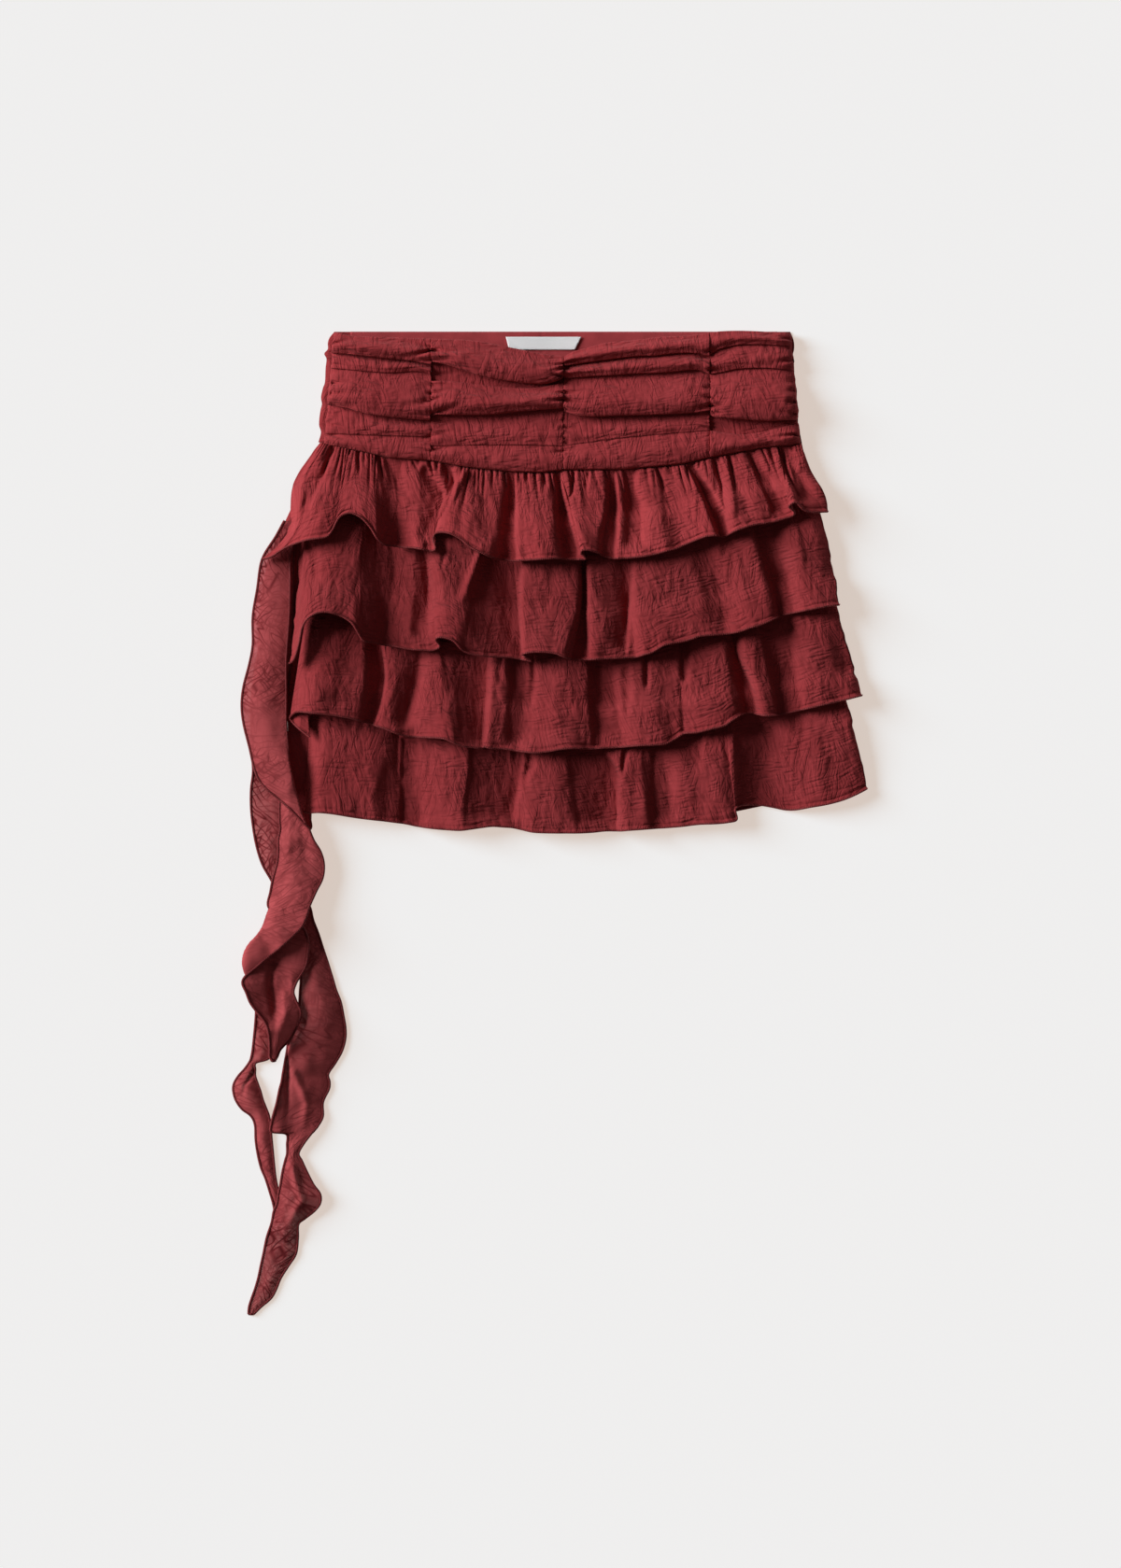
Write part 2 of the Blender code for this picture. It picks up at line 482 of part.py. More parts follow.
def front_ruffle(tier, pile):
    """The middle of a front ruffle's wall: lines from seam to hem, waving more towards the hem."""
    hang = HANG[tier]
    stations = through(FOLDS[tier], FOLD_STEPS)
    top_x, hem_x, hem_y, lift, bend = (column[:, None] for column in stations.T)
    share = np.array(hang["rows"])[None, :]
    top_y = seam_height(tier, top_x) - (SEAM_GAP if tier == 1 else 0.0)
    if hang["bends"] == 2:
        bow = -np.sin(2 * np.pi * share) * (0.3 + share)
    else:
        bow = np.sin(np.pi * share)
    x = top_x + (hem_x - top_x) * share + bend * bow
    y = top_y + (hem_y - top_y) * share
    z = pile.rest(x, y) + np.maximum(lift, 0.0) * LIFT_SCALE * share ** hang["power"]
    if tier == 1:
        column = np.arange(len(stations))[:, None]
        gather = 0.5 - 0.5 * np.cos(2 * np.pi * column / FOLD_STEPS)
        fade = share / GATHER_REACH * np.exp(1 - share / GATHER_REACH)
        z = z + GATHER_HEIGHT * gather * fade
    return np.stack([x, y, z], axis=2)


def back_ruffle(tier, pile):
    """The middle of a back ruffle's wall, flat but where it passes over the hem of the tier above."""
    hem = np.array(BACK_HEMS[tier], dtype=float)
    top_x = seam_places(tier, hem[0, 0], hem[-1, 0], hem[:, 0])[:, None]
    hem_x = np.interp(top_x, hem[:, 0], hem[:, 1])
    hem_y = np.interp(top_x, hem[:, 0], hem[:, 2])
    share = np.array(BACK_ROWS)[None, :]
    top_y = seam_height(tier, top_x) - GAP
    x = top_x + (hem_x - top_x) * share
    y = top_y + (hem_y - top_y) * share
    return np.stack([x, y, pile.rest(x, y)], axis=2)


def base_panel(layer, side_layer):
    """The middle of a base panel's wall, which comes to side_layer at its side edges."""
    top_x = seam_places(1, *BASE_TOP)[:, None]
    low_x = np.interp(top_x, BASE_TOP, BASE_LOW)
    share = np.array(BASE_ROWS)[None, :]
    top_y = seam_height(1, top_x) - SEAM_GAP
    low_y = seam_height(4, low_x) + SEAM_GAP
    x = top_x + (low_x - top_x) * share
    y = top_y + (low_y - top_y) * share
    inset = np.minimum(x - x[0], x[-1] - x)
    z = side_layer + (layer - side_layer) * smooth(inset / BASE_SIDE_TURN)
    return np.stack([x, y, z], axis=2)


def yoke_inside(x, left, right):
    """Height of the yoke's inner face, which rounds down to the side seams at left and right."""
    inset = np.minimum(x - left, right - x) / YOKE_SIDE_TURN
    rise = np.sqrt(1 - (1 - np.clip(inset, 0, 1)) ** 2)
    return YOKE_SIDE_INSIDE + (YOKE_INSIDE - YOKE_SIDE_INSIDE) * rise


def yoke_stations(lines):
    """The lines across a panel as rows of Y at left, middle and right, with the relief at each."""
    stations = []
    for number, (left, middle, right, above, below) in enumerate(lines):
        y = np.array([left, middle, right])
        if number > 0:
            upper, relief = stations[-1]
            bulge = (relief + above) / 2 + PUFF * (relief + above)
            stations.append(((upper + y) / 2, bulge))
        if number == 0:
            stations.append((y, below))
        elif number == len(lines) - 1:
            stations.append((y, above))
        else:
            stations.append((y + CREASE_HALF, above))
            stations.append((y - CREASE_HALF, below))
    return stations


def yoke_panel(name):
    """The outer and inner faces of a ruched panel: puffs and creases over a plain inside."""
    panel = YOKE_PANELS[name]
    stations = yoke_stations(panel["lines"])
    share = np.linspace(0, 1, YOKE_COLUMNS + 1)
    bend = np.stack([(1 - share) * (1 - 2 * share), 4 * share * (1 - share), share * (2 * share - 1)])
    y = np.array([line @ bend for line, _ in stations])
    relief = np.array([height for _, height in stations])[:, None]
    down = (y[0] - y) / (y[0] - y[-1])
    left = panel["left"][0] + (panel["left"][1] - panel["left"][0]) * down
    right = panel["right"][0] + (panel["right"][1] - panel["right"][0]) * down
    x = left + (right - left) * share
    y[-1] = seam_height(1, x[-1]) + GAP
    open_share = PINCH + (1 - PINCH) * (1 - np.abs(2 * share - 1) ** 5)
    outer_left = YOKE_PANELS["yoke_side_left"]["left"]
    outer_right = YOKE_PANELS["yoke_side_right"]["right"]
    side_left = outer_left[0] + (outer_left[1] - outer_left[0]) * down
    side_right = outer_right[0] + (outer_right[1] - outer_right[0]) * down
    inside = yoke_inside(x, side_left, side_right)
    outside = inside + WALL + relief * open_share
    outer = np.stack([x, y, outside], axis=2).transpose(1, 0, 2)
    inner = np.stack([x, y, inside], axis=2).transpose(1, 0, 2)
    return outer, inner


def yoke_back():
    """The middle of the plain back of the yoke, down to the seam of the first ruffle."""
    rows = np.array(YOKE_BACK_OUTLINE)
    foot = seam_places(1, *rows[-1, 1:])[:, None]
    share = (foot - foot[0]) / (foot[-1] - foot[0])
    x = rows[:, 1] + (rows[:, 2] - rows[:, 1]) * share
    seam = seam_height(1, foot)
    down = (rows[0, 0] - rows[:, 0]) / (rows[0, 0] - rows[-1, 0])
    y = rows[0, 0] + (seam - rows[0, 0]) * down
    return np.stack([x, y, np.full_like(x, BACK_LAYER)], axis=2)


def flat_patch(top, bottom, layer, columns):
    """The middle of a level four-sided patch, from its top and bottom edges as Y, left and right."""
    share = np.linspace(0, 1, columns + 1)[:, None]
    down = np.array([0.0, 1.0])[None, :]
    left = top[1] + (bottom[1] - top[1]) * down
    right = top[2] + (bottom[2] - top[2]) * down
    x = left + (right - left) * share
    y = top[0] + (bottom[0] - top[0]) * down + 0 * x
    return np.stack([x, y, np.full_like(x, layer)], axis=2)


def plain_tie(rows, pile):
    """The middle of a tie's wall, arched between its two edges."""
    rows = np.array(rows, dtype=float)
    share = np.linspace(0, 1, TIE_COLUMNS + 1)[:, None]
    x = rows[:, 1] + (rows[:, 2] - rows[:, 1]) * share
    y = rows[:, 0] + 0 * x
    z = pile.rest(x, y) + rows[:, 3] * np.sin(np.pi * share)
    return np.stack([x, y, z], axis=2)


def turned_tie(rows, pile):
    """The middle of the short tie's wall: an upper layer, a fold at one side, and a lower layer."""
    columns = []
    for y, upper_x, fold_x, lower_x, turn, rise in rows:
        side = 1 if fold_x >= max(upper_x, lower_x) else -1
        upper = abs(fold_x - upper_x)
        lower = abs(lower_x - fold_x)
        s = np.linspace(-upper, lower, SHORT_TIE_COLUMNS + 1)
        reach = np.sqrt(s**2 + TURN_RADIUS**2)
        x = fold_x - side * (reach - TURN_RADIUS)
        arch = rise * np.sin(np.pi * np.linspace(0, 1, len(s)))
        z = pile.rest(x, y + 0 * x) + turn / 2 - turn / 2 * s / reach + arch
        columns.append(np.stack([x, y + 0 * x, z], axis=1))
    return np.stack(columns, axis=1)


def build_back(cloth, pile):
    """The pieces under the skirt: the yoke's back and the four back ruffles."""
    middle = yoke_back()
    make_piece("yoke_back", *level_faces(middle), cloth)
    for tier in SEAMS:
        upper, lower = level_faces(back_ruffle(tier, pile))
        make_piece(f"ruffle_{tier}_back", upper, lower, cloth)
        pile.lay(upper)


def build_inside(cloth, white, pile):
    """The facing and the bare label inside the waist, and the base that carries the ruffles."""
    facing = flat_patch(
        (FACING_TOP, FACING_LEFT, FACING_RIGHT),
        (FACING_BOTTOM, FACING_LEFT, FACING_RIGHT),
        FACING_LAYER,
        8,
    )
    make_piece("back_facing", *level_faces(facing), cloth)
    label = flat_patch(LABEL_TOP, LABEL_BOTTOM, LABEL_LAYER, 4)
    make_piece("label", *level_faces(label), white)
    for name, layer, side in (
        ("base_back", BASE_BACK_LAYER, BASE_BACK_LAYER),
        ("base_front", BASE_FRONT_LAYER, BASE_SIDE_LAYER),
    ):
        upper, lower = level_faces(base_panel(layer, side))
        make_piece(name, upper, lower, cloth)
        pile.lay(upper)


def build_ties(cloth, pile):
    """The three stretches of side tie, from the lowest up. Returns the pile with them on it."""
    side = pile.copy()
    for name, middle_of, rows in (
        ("tie_narrow", plain_tie, NARROW_TIE),
        ("tie_long", plain_tie, LONG_TIE),
        ("tie_short", turned_tie, SHORT_TIE),
    ):
        middle = middle_of(rows, side)
        upper, lower = wall_faces(middle)
        lower[:, :, 2] = np.maximum(lower[:, :, 2], 0.0)
        make_piece(name, upper, lower, cloth)
        side.lay(np.maximum(upper, lower))
    return side


def build_front(cloth, pile, side):
    """The ruched yoke and the four front ruffles, the lowest ruffle first."""
    for name in YOKE_PANELS:
        make_piece(name, *yoke_panel(name), cloth)
    for tier in (4, 3, 2, 1):
        under = merged(pile, side) if tier == 1 else pile
        upper, lower = wall_faces(front_ruffle(tier, under))
        make_piece(f"ruffle_{tier}_front", upper, lower, cloth)
        pile.lay(np.maximum(upper, lower))


def main():
    clear_scene()
    cloth = cloth_material("brick gauze", BRICK, CLOTH_ROUGHNESS)
    inner_cloth = cloth_material("brick gauze, hidden", BRICK_DEEP, CLOTH_ROUGHNESS)
    white = cloth_material("label tape", WHITE, LABEL_ROUGHNESS)
    pile = Pile()
    build_back(inner_cloth, pile)
    build_inside(inner_cloth, white, pile)
    side = build_ties(cloth, pile)
    build_front(cloth, pile, side)


main()
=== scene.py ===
"""Tiered ruffle mini skirt of crinkled gauze, laid flat: the finish of every piece.

Sizes are in millimetres until a mesh is made. X runs across the skirt, Y up it and Z up from the floor.
"""

import bpy
import numpy as np
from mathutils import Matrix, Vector


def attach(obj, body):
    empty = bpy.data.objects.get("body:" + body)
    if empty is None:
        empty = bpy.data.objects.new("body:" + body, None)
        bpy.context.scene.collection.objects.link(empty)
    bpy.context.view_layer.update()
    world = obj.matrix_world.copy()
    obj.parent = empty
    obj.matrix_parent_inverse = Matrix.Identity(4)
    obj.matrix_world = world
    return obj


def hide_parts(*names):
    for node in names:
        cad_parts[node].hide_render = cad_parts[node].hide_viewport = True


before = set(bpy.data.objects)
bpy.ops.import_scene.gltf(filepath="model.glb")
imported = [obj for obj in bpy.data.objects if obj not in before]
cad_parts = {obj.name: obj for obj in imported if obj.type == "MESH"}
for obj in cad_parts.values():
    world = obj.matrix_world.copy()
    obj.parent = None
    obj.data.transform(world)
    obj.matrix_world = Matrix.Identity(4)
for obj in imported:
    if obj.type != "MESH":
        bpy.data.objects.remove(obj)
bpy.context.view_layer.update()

MM = 0.001

# Cloth
SHEET = 0.5  # thickness of the gauze as drawn
LABEL_SHEET = 0.25
SOLID_WALL = 1.0  # thickness of the solids' walls, which sets how the layers stack
GAP = 0.3  # air between two layers
SEAM_GAP = 1.0  # how far the base stays inside the top and the bottom seam

# Layers, each at the middle of its wall
BACK_LAYER = SOLID_WALL / 2
FACING_LAYER = BACK_LAYER + SOLID_WALL + GAP
LABEL_LAYER = FACING_LAYER + SOLID_WALL + GAP
BASE_LAYERS = {"base_back": (3.1, 3.1), "base_front": (5.5, 4.4)}  # inside, and at the sides
BASE_SIDE_TURN = 12.0

# Ruched yoke
YOKE_INSIDE = 8.0  # height of the inner face
YOKE_SIDE_INSIDE = 1.3  # and at the sides
YOKE_SIDE_TURNS = (45.0, 12.0)  # how far the left and the right side take to come down to it
YOKE_WALL = 1.0
YOKE_COLUMNS = 104
PUFF_ROWS = 16
PUFF = 0.36  # how much a puff swells between its creases
RELIEF_SCALE = 1.6
TUCK = 1.2  # how far a puff hangs over the crease under it
TUCK_ROWS = [(0.55, 0.92), (1.0, 0.7), (0.95, 0.45), (0.6, 0.2), (0.35, 0.04)]  # shares of it and its height
EDGE_ROUND = 1.2  # how far the cloth rounds over at the waist and the lower seam
CREASE_ROUND = 1.0  # and beside a crease
PUCKER_REACH = 7.0
PUCKER_SEED = 5
PUCKER_SLOPES = (-0.28, 0.28)
PUCKER_REACHES = (0.6, 1.7)  # shares of PUCKER_REACH
PUCKER_DEPTHS = (0.45, 0.95)  # shares of the relief
PUCKER_WIDTHS = (0.8, 1.3)
YOKE_SEEDS = {"puffs": 11, "seams": 12, "back": 21}
SEAM_SHARE = 0.94  # share of the relief that is left at the upright seams

# Ruffles
LIFT_SCALE = 0.95
LOWEST_LIFT = -2.0
FOLD_STEPS = 7  # points from each crest or trough to the next
RUFFLE_ROWS = 52
HEM_ROWS = 6  # more of them in the band above the hem
HEM_BAND = 5.0
HEM_GROOVE = 0.9  # how deep the hem's stitching pulls the cloth in, above the roll
HEM_GROOVE_PLACE = (2.6, 0.9)  # how far above the edge that is, and how wide
SIDE_BUMP = 1.0  # how uneven the side edges are
GATHER_DEPTH = {1: 4.8, 2: 2.0, 3: 2.0, 4: 2.0}
GATHER_SPACING = 5.6
GATHER_SPACINGS = (0.55, 1.5)  # shares of GATHER_SPACING
GATHER_DEPTHS = (0.35, 1.2)  # shares of GATHER_DEPTH
GATHER_REACHES = (5.0, 24.0)  # how far down they run
GATHER_WIDTHS = (0.55, 1.1)
GATHER_LEANS = (-0.15, 0.15)
GATHER_SPREAD = 30.0  # how far down one is twice as wide
GATHER_SIDE = 12.0  # how far to each side it reaches
CREASE_SCALE = 2.2
SWELLS = (1.1, 11.0, 30.0)  # height of soft swells, and how far apart they are along and down the cloth
RIPPLES = (0.35, 3.6, 9.0)
RUFFLE_SEEDS = {"gathers": 40, "swells": 60, "ripples": 70, "sides": 80}  # and the tier's number
VALLEY_RUN_OUT = 9.0  # how far a valley takes to end
VALLEY_SCALE = 1.2
ROLL_OVER = 5.0  # a fold rolls over into a valley whose fall is longer
LEAST_VALLEY = 1.2  # least width
WIDE_VALLEY = (4.0, 14.0)  # the width from which its left side is less deep than its right, and how soon
WIDE_VALLEY_LOSS = 0.65
BODY_AT_SEAM = {1: 4.5, 2: 1.5, 3: 1.5, 4: 1.5}  # how high the cloth stands on its gathers at the seam
BODY = 6.5  # and further down
BODY_AT_HEM = 3.8
PRESSED_RIGHT = 1.3  # how much flatter the hems lie towards the right
PRESSED_FROM = (-40.0, 60.0)  # the X from which they do, and how soon
LEFT_EDGE_BODY = (0.15, 14.0)  # share of the body at a side edge, and how far in it takes to grow
RIGHT_EDGE_BODY = (0.85, 4.0)
SHOULDER = 0.9  # how soon the cloth stands up under the seam

# Ties
TURN_RADIUS = 1.6  # of the fold where the short tie turns over
TIE_ARCH = 0.6  # share of the ties' stated rise
TIE_HEM = {"radius": 1.05, "roll_in": "tie_hem", "stitch_in": "tie_hem"}
TIE_STEPS = 6
TIE_COLUMNS = 20
TURNED_COLUMNS = 36
TIE_LOWEST = 0.3  # least rise of a tie's cloth
TIE_SEED = 31
TURNED_SEED = 33

# How a piece drapes over what lies under it
CELL = 2.0
FIELD_LOW = (-270.0, -570.0)
FIELD_HIGH = (250.0, 210.0)
SPREAD_CELLS = 5
SOFTEN_CELLS = 2

# Rolled hems, and their overlock stitches, which lean off square to the edge by so many radians
HEM_RADIUS = 0.85
STITCHES = {"Spacing": 1.5 * MM, "Length": 1.9 * MM, "Radius": 0.24 * MM, "Lean": 0.6}

# Crinkle of the gauze: turn, width and height of its furrows in metres, shift, strength, how many patches
# of it there are to a metre, and how thin the line is where the furrows are a net of fine creases instead
CRINKLES = [
    (0.06, 0.0085, 0.0019, (7.1, 5.3, 0.0), 1.0, 55.0, None),
    (-0.10, 0.0150, 0.0034, (1.3, 8.4, 0.0), 0.8, 45.0, None),
    (0.10, 0.0017, 0.0130, (0.0, 0.0, 0.0), 0.45, 50.0, None),
    (-0.30, 0.0042, 0.0240, (3.7, 1.9, 0.0), 0.9, 32.0, 0.10),
    (0.32, 0.0040, 0.0220, (5.2, 2.6, 0.0), 0.9, 36.0, 0.10),
]
TIE_CRINKLES = [
    (0.70, 0.0150, 0.0042, (7.1, 5.3, 0.0), 1.2, 22.0, 0.11),
    (-0.65, 0.0160, 0.0045, (1.3, 8.4, 0.0), 1.2, 24.0, 0.11),
    (0.05, 0.0140, 0.0044, (3.7, 1.9, 0.0), 0.6, 34.0, 0.11),
    (1.45, 0.0130, 0.0046, (5.2, 2.6, 0.0), 0.6, 40.0, 0.11),
]

# What both kinds of crinkle share: noises as patches to a metre, and lengths in metres
CRINKLE_WOBBLE = (110.0, 0.002)  # and how far it moves the furrows about
CRINKLE_PATCH = (0.36, 0.6)  # where a patch of furrows starts, and where it is full
FURROW = (0.44, 0.26)  # where a furrow starts in its wave, and where it is deepest
LUMPS = (150.0, 0.5)  # soft lumps, and their share of the relief
FURROW_SINK = 0.3
TONES = 28.0  # slow change of the colour
CRINKLE_DEPTH = 0.0010
BACK_CRINKLE_DEPTH = 0.0008
TIE_CRINKLE_DEPTH = 0.0005
WEAVE_WOBBLE = (900.0, 0.0004)
THREAD_DEPTH = 0.0001
FACING_THREAD_DEPTH = 0.00015

# Colours (linear)
BRICK = (0.288, 0.030, 0.034)
# Painted shade: the colour that the crinkle's crease lines are darkened towards
BRICK_CREASE_SHADE = (0.11, 0.008, 0.010)
BRICK_PALE = (0.338, 0.040, 0.045)
LOWER_TIER_SHADE = 0.83  # painted shade: the tiers below the first are darker copies of the same gauze
HEM_COLOUR = (0.24, 0.029, 0.032)
THREAD_COLOUR = (0.27, 0.038, 0.041)
FACING_COLOUR = (0.48, 0.063, 0.070)
# The ties' base colour is paler than the brick gauze: painted light, standing in for light that shines
# through the single layer. Their dark colour is the painted crease shade.
TIE_COLOURS = ((0.38, 0.060, 0.065), BRICK_CREASE_SHADE, (0.44, 0.074, 0.080))
TIE_HEM_COLOUR = (0.20, 0.023, 0.026)
LABEL_WHITE = (0.98, 0.98, 0.98)
LABEL_SHADE = (0.93, 0.93, 0.94)
FLOOR = (0.310, 0.435, 0.520)
FLOOR_GLOW = (0.650, 0.551, 0.487)  # a lit backdrop, which keeps its shadows pale and warm

# Spacing of the threads, in metres
GAUZE_THREAD = 0.00045
FACING_THREAD = 0.0004
LABEL_THREAD = 0.0003

# Stage, in metres
FLOOR_SIDE = 8.0
CAMERA_HEIGHT = 4.0
SENSOR = 24.0
VIEW_HEIGHT = 1.192
VIEW_CENTRE = (-0.0035, -0.1537)
FILL_COLOUR = (1.0, 0.95, 0.90)
FILL_STRENGTH = 0.095
KEY_FROM = (-1.4, 0.5, 0.7)  # direction that the key light comes from
KEY_STRENGTH = 4.6
KEY_SPREAD = 0.55  # radians across
KEY_COLOUR = (0.96, 0.99, 1.0)

# The seams that the ruffles hang from, as X and Y
SEAMS = {
    1: [
        (-187, 106), (-174, 103), (-152, 98.5), (-131, 93.5), (-101, 91.5), (-74, 86.5), (-39, 83),
        (-18, 82.5), (0, 84.5), (46, 85), (89, 89), (110, 94), (146, 101), (180, 105),
    ],
    2: [(-201, 62), (-162, 60), (-89, 44), (0, 36), (82, 43), (169, 64), (190, 67)],
    3: [(-194, -12), (-145, -19), (-74, -30), (0, -35), (82, -30), (160, -15), (203, -6)],
    4: [(-188, -84), (-145, -91), (-74, -103), (0, -108), (82, -103), (160, -89), (212, -81)],
}

